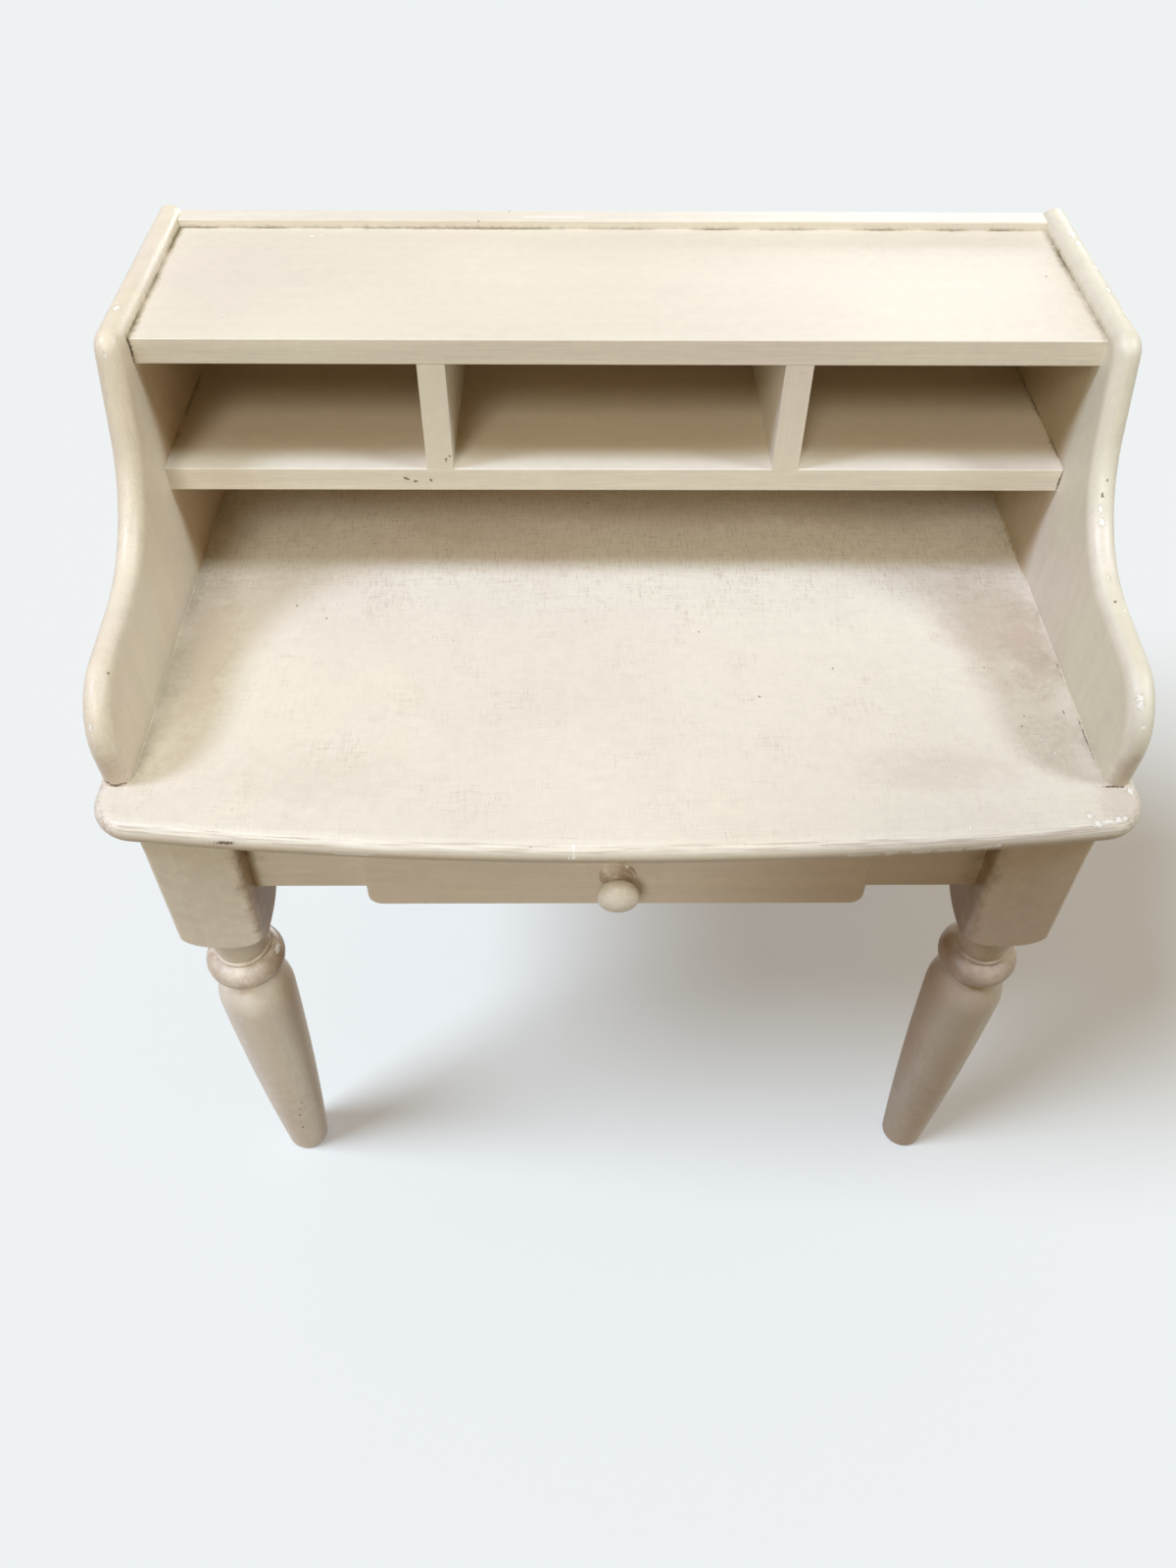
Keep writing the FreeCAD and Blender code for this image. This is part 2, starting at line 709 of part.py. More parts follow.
def make_gallery_boards(shelf_holes, divider_holes):
    """Back, two shelves and two dividers."""
    start, width = "0 - gallery_half", "2 * gallery_half"
    back = board(
        "gallery_back_board", (start, "back_front", "desk_height"),
        (width, "gallery_back_thick", "back_height"), [("front", "top"), ("rear", "top")])
    keep("gallery_back", cut("gallery_back", back, shelf_holes))
    for name, low in (("top_shelf", "top_shelf_low"), ("lower_shelf", "lower_shelf_low")):
        plank = board(
            name + "_board", (start, "shelf_front", low), (width, "shelf_depth", "shelf_thick"),
            [("front", "top"), ("front", "bottom")])
        keep(name, cut(name, plank, group(name + "_cuts", [shelf_holes, divider_holes])))
    for name, middle in (("left", "0 - divider_left_distance"), ("right", "divider_right_distance")):
        plank = box(
            f"divider_{name}_board", (f"{middle} - divider_thick / 2", "shelf_front", "pigeonhole_low"),
            ("divider_thick", "shelf_depth", "top_shelf_low - pigeonhole_low"))
        keep(f"divider_{name}", cut(f"divider_{name}", plank, divider_holes))


# ---------------------------------------------------------------- glue blocks
def block_places():
    """Name, low corner and plan size of each block in the angle of an apron and the top."""
    far = "side_apron_inside - block_square"
    lengthwise, crosswise = ("block_length", "block_square"), ("block_square", "block_length")
    front_x = "opening_half + runner_width - runner_inside + front_block_gap"
    front_length = f"(apron_span / 2 - ({front_x}) - front_block_gap)"
    places = []
    for name, side in (("left", -1), ("right", 1)):
        across = front_x if side > 0 else f"0 - ({front_x}) - {front_length}"
        places.append((f"front_{name}", (across, "apron_back"), (front_length, "block_square")))
        across = far if side > 0 else f"0 - ({far}) - block_square"
        places.append((f"side_{name}", (across, "0 - block_length / 2"), crosswise))
        across = f"{side} * block_place - block_length / 2"
        places.append((f"rear_{name}", (across, "rear_apron_front - block_square"), lengthwise))
    return places


def make_glue_blocks(holes):
    """The blocks that hold the writing top to the apron frame."""
    for name, (x, y), (length, depth) in block_places():
        stock = box(
            f"glue_block_{name}_stock", (x, y, "top_under - block_square"), (length, depth, "block_square"))
        keep(f"glue_block_{name}", cut(f"glue_block_{name}", stock, holes))


# ------------------------------------------------------------------ assembly
def gallery_dowels():
    """Dowels of the shelves and back in the sides, and of the dividers in the shelves."""
    shelf_joints, divider_joints = [], []
    for x in ("0 - gallery_half", "gallery_half"):
        for low in ("top_shelf_low", "lower_shelf_low"):
            for y in ("shelf_front + dowel_inset", "back_front - dowel_inset"):
                shelf_joints.append(("+x", (x, y, f"{low} + shelf_thick / 2")))
        for z in ("desk_height + dowel_inset", "top_shelf_low - dowel_inset"):
            shelf_joints.append(("+x", (x, "rear - gallery_back_thick / 2", z)))
    for x in ("0 - divider_left_distance", "divider_right_distance"):
        for z in ("pigeonhole_low", "top_shelf_low"):
            for y in ("shelf_front + dowel_inset", "back_front - dowel_inset"):
                divider_joints.append(("+z", (x, y, z)))
    return dowel_set("shelf_dowels", shelf_joints), dowel_set("divider_dowels", divider_joints)


def drawer_dowels():
    """Dowels of the sides in the front, and those driven through the sides into the back."""
    joints = []
    for side in (-1, 1):
        for z in ("drawer_floor_high + drawer_dowel_inset", "drawer_high - drawer_dowel_inset"):
            joints.append(("+y", (f"{side} * (drawer_half - drawer_side_thick / 2)", "drawer_box_front", z)))
            joints.append(("+x", (
                f"{side} * (drawer_half - dowel_length / 2)", "drawer_box_rear - drawer_side_thick / 2", z)))
    return dowel_set("drawer_dowels", joints)


fill_sheet()
shelf_holes, divider_holes = gallery_dowels()

gallery_spots = [
    (f"{side} * (gallery_half + gallery_side_thick / 2)", y, "top_under")
    for side in (-1, 1)
    for y in ("rear - gallery_screw_inset", "rear - side_shoulder_reach",
              "rear - side_foot_reach + gallery_screw_inset")
]
gallery_holes = screw_set("gallery_screws", "+z", gallery_spots, "(top_thick + gallery_screw_bite)")
block_spots = [
    (f"{x} + {length} / 2", f"{y} + {depth} / 2", "top_under - block_square")
    for _, (x, y), (length, depth) in block_places()
]
block_holes = screw_set("block_screws", "+z", block_spots, "(block_square + block_screw_bite)")
knob_hole = screw_set(
    "knob_screw", "-y", [("0", "drawer_box_front", "knob_height")], "(drawer_front_thick + knob_screw_bite)")

make_writing_top(group("writing_top_holes", [gallery_holes, block_holes]))

mortises = {
    "left": make_side_apron("side_apron_left", -1),
    "right": make_side_apron("side_apron_right", 1),
    "rear": make_rear_apron(),
    "front_left": make_front_apron("front_apron_left", -1),
    "front_right": make_front_apron("front_apron_right", 1),
}
for side_name, side in (("left", -1), ("right", 1)):
    for end in ("front", "rear"):
        crossing = mortises["rear"] if end == "rear" else mortises[f"front_{side_name}"]
        name = f"leg_{end}_{side_name}"
        make_leg(name, side, end, group(name + "_mortises", [mortises[side_name], crossing]))
    make_drawer_supports(side_name, side)
make_drawer_rails()

groove = floor_groove()
drawer_holes = drawer_dowels()
make_drawer_front(group("drawer_front_cuts", [groove, drawer_holes, knob_hole]))
make_drawer_box(groove, drawer_holes)
make_knob(knob_hole)

for side_name, side in (("left", -1), ("right", 1)):
    make_gallery_side(side_name, side, group(f"gallery_side_{side_name}_cuts", [shelf_holes, gallery_holes]))
make_gallery_boards(shelf_holes, divider_holes)
make_glue_blocks(block_holes)

# -------------------------------------------------------------------- export
doc.recompute()
for thing in doc.Objects:
    if "Invalid" in thing.State or "Error" in thing.State:
        raise RuntimeError(f"{thing.Name} failed: {thing.State}")
os.makedirs("parts", exist_ok=True)
for name, thing in parts.items():
    if thing.Shape.isNull() or not thing.Shape.isValid():
        raise RuntimeError(f"{name} has no valid shape")
    thing.Shape.exportStep(f"parts/{name}.step")
print(len(parts), "nodes,", sum(len(thing.Shape.Solids) for thing in parts.values()), "solids")
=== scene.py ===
# %% [markdown]
# # A small painted writing desk
# A bonheur du jour is a light writing desk with a low gallery of pigeonholes at the back of its top.
# This one is softwood under thick cream paint. Every board and leg already exists as a fixed solid,
# so this lesson gives them their paint, wear and dirt, with painted shade in hollows and recesses and painted
# highlights on some edges, lays the ridges of paint that fill the joints, and then lights and frames the desk.

# %% The fixed frame
import random
from math import pi, radians

import bpy
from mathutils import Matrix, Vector


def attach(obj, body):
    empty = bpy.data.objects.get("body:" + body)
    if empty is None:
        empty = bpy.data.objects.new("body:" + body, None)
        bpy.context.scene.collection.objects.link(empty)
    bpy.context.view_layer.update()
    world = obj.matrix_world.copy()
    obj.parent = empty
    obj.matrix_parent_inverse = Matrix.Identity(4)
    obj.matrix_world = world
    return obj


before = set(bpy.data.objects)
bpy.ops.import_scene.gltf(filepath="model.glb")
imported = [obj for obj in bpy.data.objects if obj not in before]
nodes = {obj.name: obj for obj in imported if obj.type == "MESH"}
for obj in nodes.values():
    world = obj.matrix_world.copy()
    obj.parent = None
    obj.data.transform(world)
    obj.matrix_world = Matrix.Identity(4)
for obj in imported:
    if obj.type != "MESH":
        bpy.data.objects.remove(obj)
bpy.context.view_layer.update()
bpy.ops.object.select_all(action="DESELECT")
MM = 0.001

# %% [markdown]
# ## The camera
# The desk is seen from in front and well above, as by someone standing over it. A camera is easiest to
# repeat when its place and its three turns are written down. A first turn of 0 looks straight down and
# 90 looks level, so about 42 degrees looks steeply down. The lens is short, which is why the legs
# narrow so much towards the floor.

# %% Camera above the front edge
view = bpy.data.cameras.new("standing_view")
view.lens = 28.145
camera = bpy.data.objects.new("standing_view", view)
camera.location = Vector((-43.95, -1053.5, 1656.5)) * MM
camera.rotation_euler = [radians(turn) for turn in (41.742, -0.419, -0.441)]
bpy.context.scene.collection.objects.link(camera)
bpy.context.scene.camera = camera
bpy.context.scene.view_settings.view_transform = "Standard"
print("camera height", round(camera.location.z, 3), "m, lens", round(view.lens, 2), "mm")

# %% [markdown]
# ## Building materials from nodes
# A material is a small network of nodes. Short helpers keep the network readable: one places a node and
# fills its sockets, and the others use it for arithmetic, noise and colour. A socket is filled either
# with a plain value or with the output of another node.

# %% Helpers for nodes
def place(tree, kind, settings=None, sockets=None):
    """Puts a node in the tree and fills its sockets with values or with other nodes' outputs."""
    made = tree.nodes.new("ShaderNode" + kind)
    for name, value in (settings or {}).items():
        setattr(made, name, value)
    for name, value in (sockets or {}).items():
        if isinstance(value, bpy.types.NodeSocket):
            tree.links.new(value, made.inputs[name])
        else:
            made.inputs[name].default_value = value
    return made


def number(tree, operation, *values, clamp=False):
    """Arithmetic on numbers."""
    settings = {"operation": operation, "use_clamp": clamp}
    return place(tree, "Math", settings, dict(enumerate(values))).outputs[0]


def times(tree, first, second):
    """One number times another."""
    return number(tree, "MULTIPLY", first, second)


def vector(tree, operation, *values):
    """Arithmetic on vectors; a length or a dot product comes out as a number."""
    made = place(tree, "VectorMath", {"operation": operation}, dict(enumerate(values)))
    return made.outputs["Value" if operation in ("LENGTH", "DOT_PRODUCT") else "Vector"]


def scaled(tree, values, factor):
    """A vector or a colour, all of it times one number."""
    return place(tree, "VectorMath", {"operation": "SCALE"}, {0: values, "Scale": factor}).outputs["Vector"]


def parts(tree, values):
    """The three numbers of a vector."""
    return place(tree, "SeparateXYZ", {}, {"Vector": values}).outputs


def noise(tree, where, scale, detail, roughness=0.5):
    """A cloudy noise. Scale is about how many clouds there are to the metre, detail is how many finer layers
    lie over them, and roughness is how strong those layers are."""
    sockets = {"Vector": where, "Scale": scale, "Detail": detail, "Roughness": roughness}
    return place(tree, "TexNoise", {}, sockets).outputs[0]


def fade(tree, value, start, end):
    """0 at start, 1 at end, and a smooth rise between them."""
    settings = {"interpolation_type": "SMOOTHSTEP"}
    return place(tree, "MapRange", settings, {"Value": value, "From Min": start, "From Max": end}).outputs[0]


def blend(tree, share, first, second, way="MIX"):
    """Mixes two colours; share 0 gives the first."""
    made = place(tree, "Mix", {"data_type": "RGBA", "blend_type": way})
    for socket, value in zip((made.inputs[0], made.inputs[6], made.inputs[7]), (share, first, second)):
        if isinstance(value, bpy.types.NodeSocket):
            tree.links.new(value, socket)
        else:
            socket.default_value = value if isinstance(value, (int, float)) else (*value, 1)
    return made.outputs[2]


print("helpers for nodes are ready")

# %% [markdown]
# An effect that several finishes share, such as brush marks, is a group: a network made once, with named
# inputs, and placed in each material with that material's own values.

# %% Starting a group
def begin(name, takes, gives):
    """An empty group with its input outputs and output inputs. takes holds each input's usual value."""
    group = bpy.data.node_groups.new(name, "ShaderNodeTree")
    for title, usual in takes.items():
        kind = "Float" if isinstance(usual, (int, float)) else "Vector" if len(usual) == 3 else "Color"
        made = group.interface.new_socket(title, in_out="INPUT", socket_type="NodeSocket" + kind)
        made.default_value = usual
    for title in gives:
        kind = "Color" if title == "Color" else "Float"
        group.interface.new_socket(title, in_out="OUTPUT", socket_type="NodeSocket" + kind)
    return group, group.nodes.new("NodeGroupInput").outputs, group.nodes.new("NodeGroupOutput").inputs


def effect(tree, group, sockets):
    """Places a group in a material."""
    return place(tree, "Group", {"node_tree": group}, sockets).outputs


NOWHERE = (0, 0, 0)
print("groups can be started")

# %% [markdown]
# ## Brush marks
# Thick household paint keeps the furrows of the bristles. They are long along the stroke and about a
# millimetre apart across it, so the noise is read from coordinates that are squeezed along the stroke.
# Stretch holds how many furrows there are to the metre in each direction.

# %% Effect: brush marks
BAND_SCALE = 0.13
brush_marks, given, out = begin("Brush marks", {"Vector": NOWHERE, "Stretch": (10, 500, 500)}, ("Furrows", "Bands"))
squeezed = vector(brush_marks, "MULTIPLY", given["Vector"], given["Stretch"])
brush_marks.links.new(noise(brush_marks, squeezed, 1.0, 3.0, 0.6), out["Furrows"])
wide = noise(brush_marks, squeezed, BAND_SCALE, 2.0)
brush_marks.links.new(fade(brush_marks, wide, 0.3, 0.7), out["Bands"])
print("effect", brush_marks.name)

# %% [markdown]
# The writing top was brushed both ways, and the strokes cross like the threads of linen. Here and there
# the top coat is rubbed thin, and the crossing furrows show dark where dirt stayed in them.

# %% Effect: crossed strokes
LENGTHWISE, CROSSWISE = (52, 780, 60), (700, 64, 60)
crossed_strokes, given, out = begin("Crossed strokes", {"Vector": NOWHERE, "Worn": 0.5}, ("Furrows", "Threads"))
tree, spot = crossed_strokes, given["Vector"]
lengthwise, crosswise = [effect(tree, brush_marks, {"Vector": spot, "Stretch": stretch})["Furrows"]
                         for stretch in (LENGTHWISE, CROSSWISE)]
tree.links.new(number(tree, "MAXIMUM", lengthwise, crosswise), out["Furrows"])
patchy = number(tree, "MULTIPLY_ADD", given["Worn"], 0.3, noise(tree, spot, 17.0, 6.0, 0.68))
both_ways = number(tree, "ADD", lengthwise, crosswise)
threads = times(tree, fade(tree, both_ways, 1.03, 1.22), fade(tree, patchy, 0.47, 0.71))
tree.links.new(threads, out["Threads"])
print("effect", crossed_strokes.name)

# %% [markdown]
# ## Clouds in the colour
# Old cream paint isn't one colour. Over a hand's breadth it drifts between a greenish, a pinkish and a
# plain cream. One slow noise makes the drift darker or lighter and another chooses the tint.

# %% Effect: cloudy cream
ELSEWHERE = (3.1, 5.7, 1.9)
cloudy_cream, given, out = begin(
    "Cloudy cream",
    {"Vector": NOWHERE, "Cream": (0.8, 0.75, 0.66, 1), "Green": (0.76, 0.75, 0.6, 1),
     "Pink": (0.78, 0.7, 0.63, 1), "Strength": 0.6, "Spread": 4.0},
    ("Color",))
tree, spot = cloudy_cream, given["Vector"]
slow = noise(tree, spot, given["Spread"], 5.0)
other = noise(tree, vector(tree, "ADD", spot, ELSEWHERE), given["Spread"], 4.0)
greener = times(tree, fade(tree, slow, 0.5, 0.68), given["Strength"])
pinker = times(tree, fade(tree, other, 0.5, 0.68), given["Strength"])
tinted = blend(tree, pinker, blend(tree, greener, given["Cream"], given["Green"]), given["Pink"])
mottle = noise(tree, spot, 75.0, 6.0, 0.7)
drift = number(tree, "MULTIPLY_ADD", number(tree, "ADD", mottle, slow), 0.16, 0.84)
tree.links.new(scaled(tree, tinted, drift), out["Color"])
print("effect", cloudy_cream.name)

# %% [markdown]
# ## Dirt and shade along a joint
# Where two boards meet, the duster never reaches and grime gathers. The same mask with a long reach is also
# used as painted shade beside a board. The joint is a straight line, so its two ends say where it is: the grime
# is strongest on the line and thins out over its reach, and two noises break it up. The paint has also cracked
# along some joints, in short lengths as thin as a hair. Width is half the crack's width, and higher Gaps leave
# less of it. The same two ends serve both boards that meet there.

# %% Effect: joint dirt and painted shade
joint_dirt_and_shade, given, out = begin(
    "Joint dirt and shade",
    {"Vector": NOWHERE, "Start": NOWHERE, "End": (1, 0, 0), "Reach": 0.01, "Strength": 0.6, "Width": 0.0008,
     "Gaps": 0.5},
    ("Dirt and shade", "Crack"))
tree, spot = joint_dirt_and_shade, given["Vector"]
run = vector(tree, "SUBTRACT", given["End"], given["Start"])
come = vector(tree, "SUBTRACT", spot, given["Start"])
along, whole = vector(tree, "DOT_PRODUCT", come, run), vector(tree, "DOT_PRODUCT", run, run)
foot = scaled(tree, run, number(tree, "DIVIDE", along, whole, clamp=True))
away = vector(tree, "LENGTH", vector(tree, "SUBTRACT", come, foot))
crumbs, lengths = noise(tree, spot, 130.0, 6.0, 0.7), noise(tree, spot, 22.0, 3.0)
reached = number(tree, "DIVIDE", away, given["Reach"])
far = number(tree, "MULTIPLY_ADD", number(tree, "SUBTRACT", crumbs, 0.5), 2.6, reached)
near = number(tree, "POWER", number(tree, "SUBTRACT", 1.0, far, clamp=True), 1.4)
gathered = times(tree, near, times(tree, fade(tree, lengths, 0.3, 0.6), given["Strength"]))
tree.links.new(gathered, out["Dirt and shade"])
thin = fade(tree, number(tree, "DIVIDE", away, given["Width"]), 1.3, 0.7)
both_noises = number(tree, "ADD", times(tree, crumbs, 0.4), times(tree, lengths, 0.6))
broken = fade(tree, number(tree, "SUBTRACT", both_noises, given["Gaps"]), 0.0, 0.03)
tree.links.new(times(tree, thin, broken), out["Crack"])
print("effect", joint_dirt_and_shade.name)

# %% [markdown]
# ## Painted shade in boxes
# Inside the pigeonholes, under the shelves, behind and on the right of the legs, under the front edge and on
# the right half of the drawer front the paint is made darker and browner: this is painted shade. A box with
# soft walls says where: the mask is 0 at each wall and rises to 1 over the softness inside it.

# %% Effect: painted shade in a box
painted_shade_box, given, out = begin(
    "Painted shade box",
    {"Vector": NOWHERE, "Low": (-1, -1, -1), "High": (1, 1, 1), "Soft": (0.05, 0.05, 0.05)},
    ("Painted shade",))
tree, spot = painted_shade_box, given["Vector"]
past_low = vector(tree, "DIVIDE", vector(tree, "SUBTRACT", spot, given["Low"]), given["Soft"])
past_high = vector(tree, "DIVIDE", vector(tree, "SUBTRACT", given["High"], spot), given["Soft"])
inside = parts(tree, vector(tree, "MINIMUM", past_low, past_high))
least = number(tree, "MINIMUM", inside[0], number(tree, "MINIMUM", inside[1], inside[2]))
tree.links.new(fade(tree, least, 0.0, 1.0), out["Painted shade"])
print("effect", painted_shade_box.name)

# %% [markdown]
# ## Chips and stains
# A chip is a small ragged patch where the cream has come off and the white undercoat shows. It is made
# from the distance to its middle, measured in its own half sizes, with a noise that roughens the rim. A
# stain is like a large chip with a very soft rim; most stains here are painted shade in hollows and beside boards.

# %% Effects: one chip, one stain that is mostly painted shade
def ragged_distance(tree, given, clouds, ragged):
    """The distance from the middle in half sizes, made uneven by the clouds."""
    offset = vector(tree, "SUBTRACT", given["Vector"], given["Middle"])
    plain = vector(tree, "LENGTH", vector(tree, "DIVIDE", offset, given["Half size"]))
    return number(tree, "MULTIPLY_ADD", number(tree, "SUBTRACT", clouds, 0.5), ragged, plain)


chip, given, out = begin(
    "Chip", {"Vector": NOWHERE, "Middle": NOWHERE, "Half size": (0.005, 0.005, 0.005)}, ("Bare", "Rim"))
far = ragged_distance(chip, given, noise(chip, given["Vector"], 420.0, 3.0), 3.2)
chip.links.new(fade(chip, far, 1.05, 0.85), out["Bare"])
chip.links.new(fade(chip, far, 1.45, 1.15), out["Rim"])
stain_and_shade, given, out = begin(
    "Stain and shade", {"Vector": NOWHERE, "Middle": NOWHERE, "Half size": (0.03, 0.03, 0.03)}, ("Stain and shade",))
far = ragged_distance(stain_and_shade, given, noise(stain_and_shade, given["Vector"], 55.0, 6.0, 0.65), 2.2)
stain_and_shade.links.new(fade(stain_and_shade, far, 1.1, 0.25), out["Stain and shade"])
print("effects", chip.name, stain_and_shade.name)

# %% [markdown]
# Specks are scattered everywhere by a Voronoi texture, which has one random point in each cell. Share is the
# part of the cells that get one, and Size is its radius in cells.

# %% Effect: specks
specks, given, out = begin(
    "Specks", {"Vector": NOWHERE, "Per metre": 60.0, "Size": 0.09, "Share": 0.02}, ("Specks",))
cells = place(specks, "TexVoronoi", {}, {"Vector": given["Vector"], "Scale": given["Per metre"]}).outputs
drawn = place(specks, "SeparateColor", {}, {"Color": cells["Color"]}).outputs[0]
chosen = number(specks, "LESS_THAN", drawn, given["Share"])
inner = times(specks, given["Size"], 0.6)
span = {"Value": cells["Distance"], "From Min": given["Size"], "From Max": inner}
specks.links.new(times(specks, place(specks, "MapRange", {}, span).outputs[0], chosen), out["Specks"])
print("effect", specks.name)

# %% [markdown]
# ## Wear on rounded edges
# Hands and sleeves polish the rounded edges, and knocks leave small pale nicks on them. The paler edge
# colour that the coat makes from this mask is also painted highlight. A flat face of a board looks along one
# of the three axes. On an edge the surface looks between two axes, so the largest part of its normal is well
# below 1. That tells edge from face without measuring anything.

# %% Effect: edge wear
FLAT, ROUNDED = 0.985, 0.86
edge_wear, given, out = begin(
    "Edge wear", {"Vector": NOWHERE, "Normal": (0, 0, 1), "Nicks": 0.3}, ("Edge", "Bare"))
tree, spot = edge_wear, given["Vector"]
facing = parts(tree, vector(tree, "ABSOLUTE", given["Normal"]))
largest = number(tree, "MAXIMUM", facing[0], number(tree, "MAXIMUM", facing[1], facing[2]))
edge = fade(tree, largest, FLAT, ROUNDED)
small, large = noise(tree, spot, 240.0, 4.0, 0.62), noise(tree, spot, 16.0, 2.0)
likely = number(tree, "MULTIPLY_ADD", fade(tree, large, 0.45, 0.75), 0.14, small)
wanted = number(tree, "SUBTRACT", 0.86, times(tree, given["Nicks"], 0.2))
nicked = fade(tree, number(tree, "SUBTRACT", likely, wanted), 0.0, 0.02)
tree.links.new(edge, out["Edge"])
tree.links.new(times(tree, nicked, edge), out["Bare"])
print("effect", edge_wear.name)

# %% [markdown]
# ## The paint coat
# All of these meet in one coat. Furrows and bands make the cream a little darker or lighter, most of all on
# the edges, where the brush dragged. Grime and stains brown it, and the same browns serve as painted shade
# beside boards and in hollows; the yellowed brown is painted shade in recesses. The edges are paler, partly
# from handling and partly as painted highlight. Undercoat shows in the chips, and the same masks make the coat
# duller where it is dirty and smoother where it is handled. Height is the relief that the Bump node reads:
# furrows are shallow, and a chip is a step down through the paint.

# %% Effect: paint coat
# The handled colour pales the edges partly as wear and partly as painted highlight, and the yellowed colour is
# painted shade.
UNDERCOAT, HANDLED_AND_HIGHLIT, PAINTED_SHADE_BROWN = (0.97, 0.95, 0.89), (0.90, 0.87, 0.79), (0.76, 0.66, 0.55)
# The stain brown is mostly painted shade, and the grime is dirt in the joints and painted shade beside a board.
RUBBED, STAIN_AND_SHADE_BROWN, GRIME_AND_SHADE = (0.50, 0.38, 0.28), (0.57, 0.445, 0.35), (0.40, 0.345, 0.225)
BROWN_DIRT, DARK_DIRT = (0.30, 0.22, 0.14), (0.13, 0.085, 0.05)
BANDS_SHOW, THREADS_SHOW, RIM_SHOWS, DARK_SHOWS = 0.3, 0.42, 0.25, 0.85
DIRT_DULLS, FURROWS_DULL, BARE_DULLS, EDGE_SHINES = 0.35, 0.12, 0.2, -0.08
FURROWS_RISE, BANDS_RISE, THREADS_SINK = 0.35, 0.25, 0.25
paint_coat, given, out = begin(
    "Paint coat",
    {"Cream": (0.8, 0.75, 0.66, 1), "Furrows": 0.5, "Bands": 0.5, "Furrow tone": 0.1, "Threads": 0.0,
     "Dirt and shade": 0.0, "Bare": 0.0, "Rim": 0.0, "Dark": 0.0, "Stain and shade": 0.0, "Painted shade": 0.0, "Edge": 0.0,
     "Polish and highlight": 0.0, "Drag": 1.5, "Gloss": 0.42},
    ("Color", "Roughness", "Height"))
tree = paint_coat
dragged = times(tree, given["Furrow tone"], number(tree, "MULTIPLY_ADD", given["Edge"], given["Drag"], 1.0))
tone = times(tree, number(tree, "SUBTRACT", given["Furrows"], 0.5), dragged)
banded = times(tree, dragged, BANDS_SHOW)
tone = number(tree, "MULTIPLY_ADD", number(tree, "SUBTRACT", given["Bands"], 0.5), banded, tone)
coat_colour = scaled(tree, given["Cream"], number(tree, "SUBTRACT", 1.0, tone))
coat_colour = blend(tree, times(tree, given["Edge"], given["Polish and highlight"]), coat_colour, HANDLED_AND_HIGHLIT)
coat_colour = blend(tree, times(tree, given["Threads"], THREADS_SHOW), coat_colour, RUBBED)
coat_colour = blend(tree, given["Stain and shade"], coat_colour, STAIN_AND_SHADE_BROWN)
coat_colour = blend(tree, given["Dirt and shade"], coat_colour, GRIME_AND_SHADE)
coat_colour = blend(tree, times(tree, given["Rim"], RIM_SHOWS), coat_colour, BROWN_DIRT)
coat_colour = blend(tree, given["Painted shade"], coat_colour, PAINTED_SHADE_BROWN, "MULTIPLY")
coat_colour = blend(tree, given["Bare"], coat_colour, UNDERCOAT)
coat_colour = blend(tree, times(tree, given["Dark"], DARK_SHOWS), coat_colour, DARK_DIRT)
tree.links.new(coat_colour, out["Color"])
dull = number(tree, "MULTIPLY_ADD", given["Furrows"], FURROWS_DULL, given["Gloss"])
dull = number(tree, "MULTIPLY_ADD", given["Dirt and shade"], DIRT_DULLS, dull)
dull = number(tree, "MULTIPLY_ADD", given["Edge"], EDGE_SHINES, dull)
tree.links.new(number(tree, "MULTIPLY_ADD", given["Bare"], BARE_DULLS, dull, clamp=True), out["Roughness"])
sunk = number(tree, "MAXIMUM", given["Bare"], given["Dark"])
relief = number(tree, "MULTIPLY_ADD", given["Furrows"], FURROWS_RISE, times(tree, given["Bands"], BANDS_RISE))
relief = number(tree, "SUBTRACT", relief, times(tree, given["Threads"], THREADS_SINK))
tree.links.new(number(tree, "MULTIPLY_ADD", sunk, -1.0, relief), out["Height"])
print("effect", paint_coat.name)

# %% [markdown]
# ## Marks at their places
# Every place is given in millimetres, as on a drawing. A joint is two ends, a reach and a strength, a row of
# flakes or a crack is two ends and half a width, a chip is a middle and three half sizes, and a box of painted
# shade is two corners, the softness of its walls and an amount.

# %% Masks from places
FLAKE_GAPS, CRACK_GAPS, CRACKS_SHOW = 0.41, 0.52, 0.68


def metres(place_in_mm):
    """The same place in metres."""
    return [part * MM for part in place_in_mm]


def together(tree, masks):
    """The strongest of several masks."""
    strongest = 0.0
    for mask in masks:
        strongest = number(tree, "MAXIMUM", strongest, mask)
    return strongest


def dirt_and_shade_along(tree, spot, start, end, reach, amount):
    """The dirt along one joint; with a long reach it is painted shade beside a board."""
    sockets = {"Start": metres(start), "End": metres(end), "Reach": reach * MM, "Strength": amount}
    return effect(tree, joint_dirt_and_shade, {"Vector": spot, **sockets})["Dirt and shade"]


def torn(tree, spot, start, end, half_width, gaps):
    """One broken line, for a row of flakes or a crack."""
    sockets = {"Start": metres(start), "End": metres(end), "Width": half_width * MM, "Gaps": gaps}
    return effect(tree, joint_dirt_and_shade, {"Vector": spot, **sockets})["Crack"]


def patch(tree, spot, group, middle, half):
    """One chip or one stain; most stains are painted shade."""
    return effect(tree, group, {"Vector": spot, "Middle": metres(middle), "Half size": metres(half)})


def shaded(tree, spot, low, high, soft, amount):
    """One box of painted shade."""
    sockets = {"Low": metres(low), "High": metres(high), "Soft": metres(soft)}
    return times(tree, effect(tree, painted_shade_box, {"Vector": spot, **sockets})["Painted shade"], amount)


print("marks can be placed")

# %% [markdown]
# ## One builder for every painted piece
# Each piece gets a material of its own, because its strokes run along its own length and its dirt lies at
# its own joints. The builder takes those facts and wires the effects together.

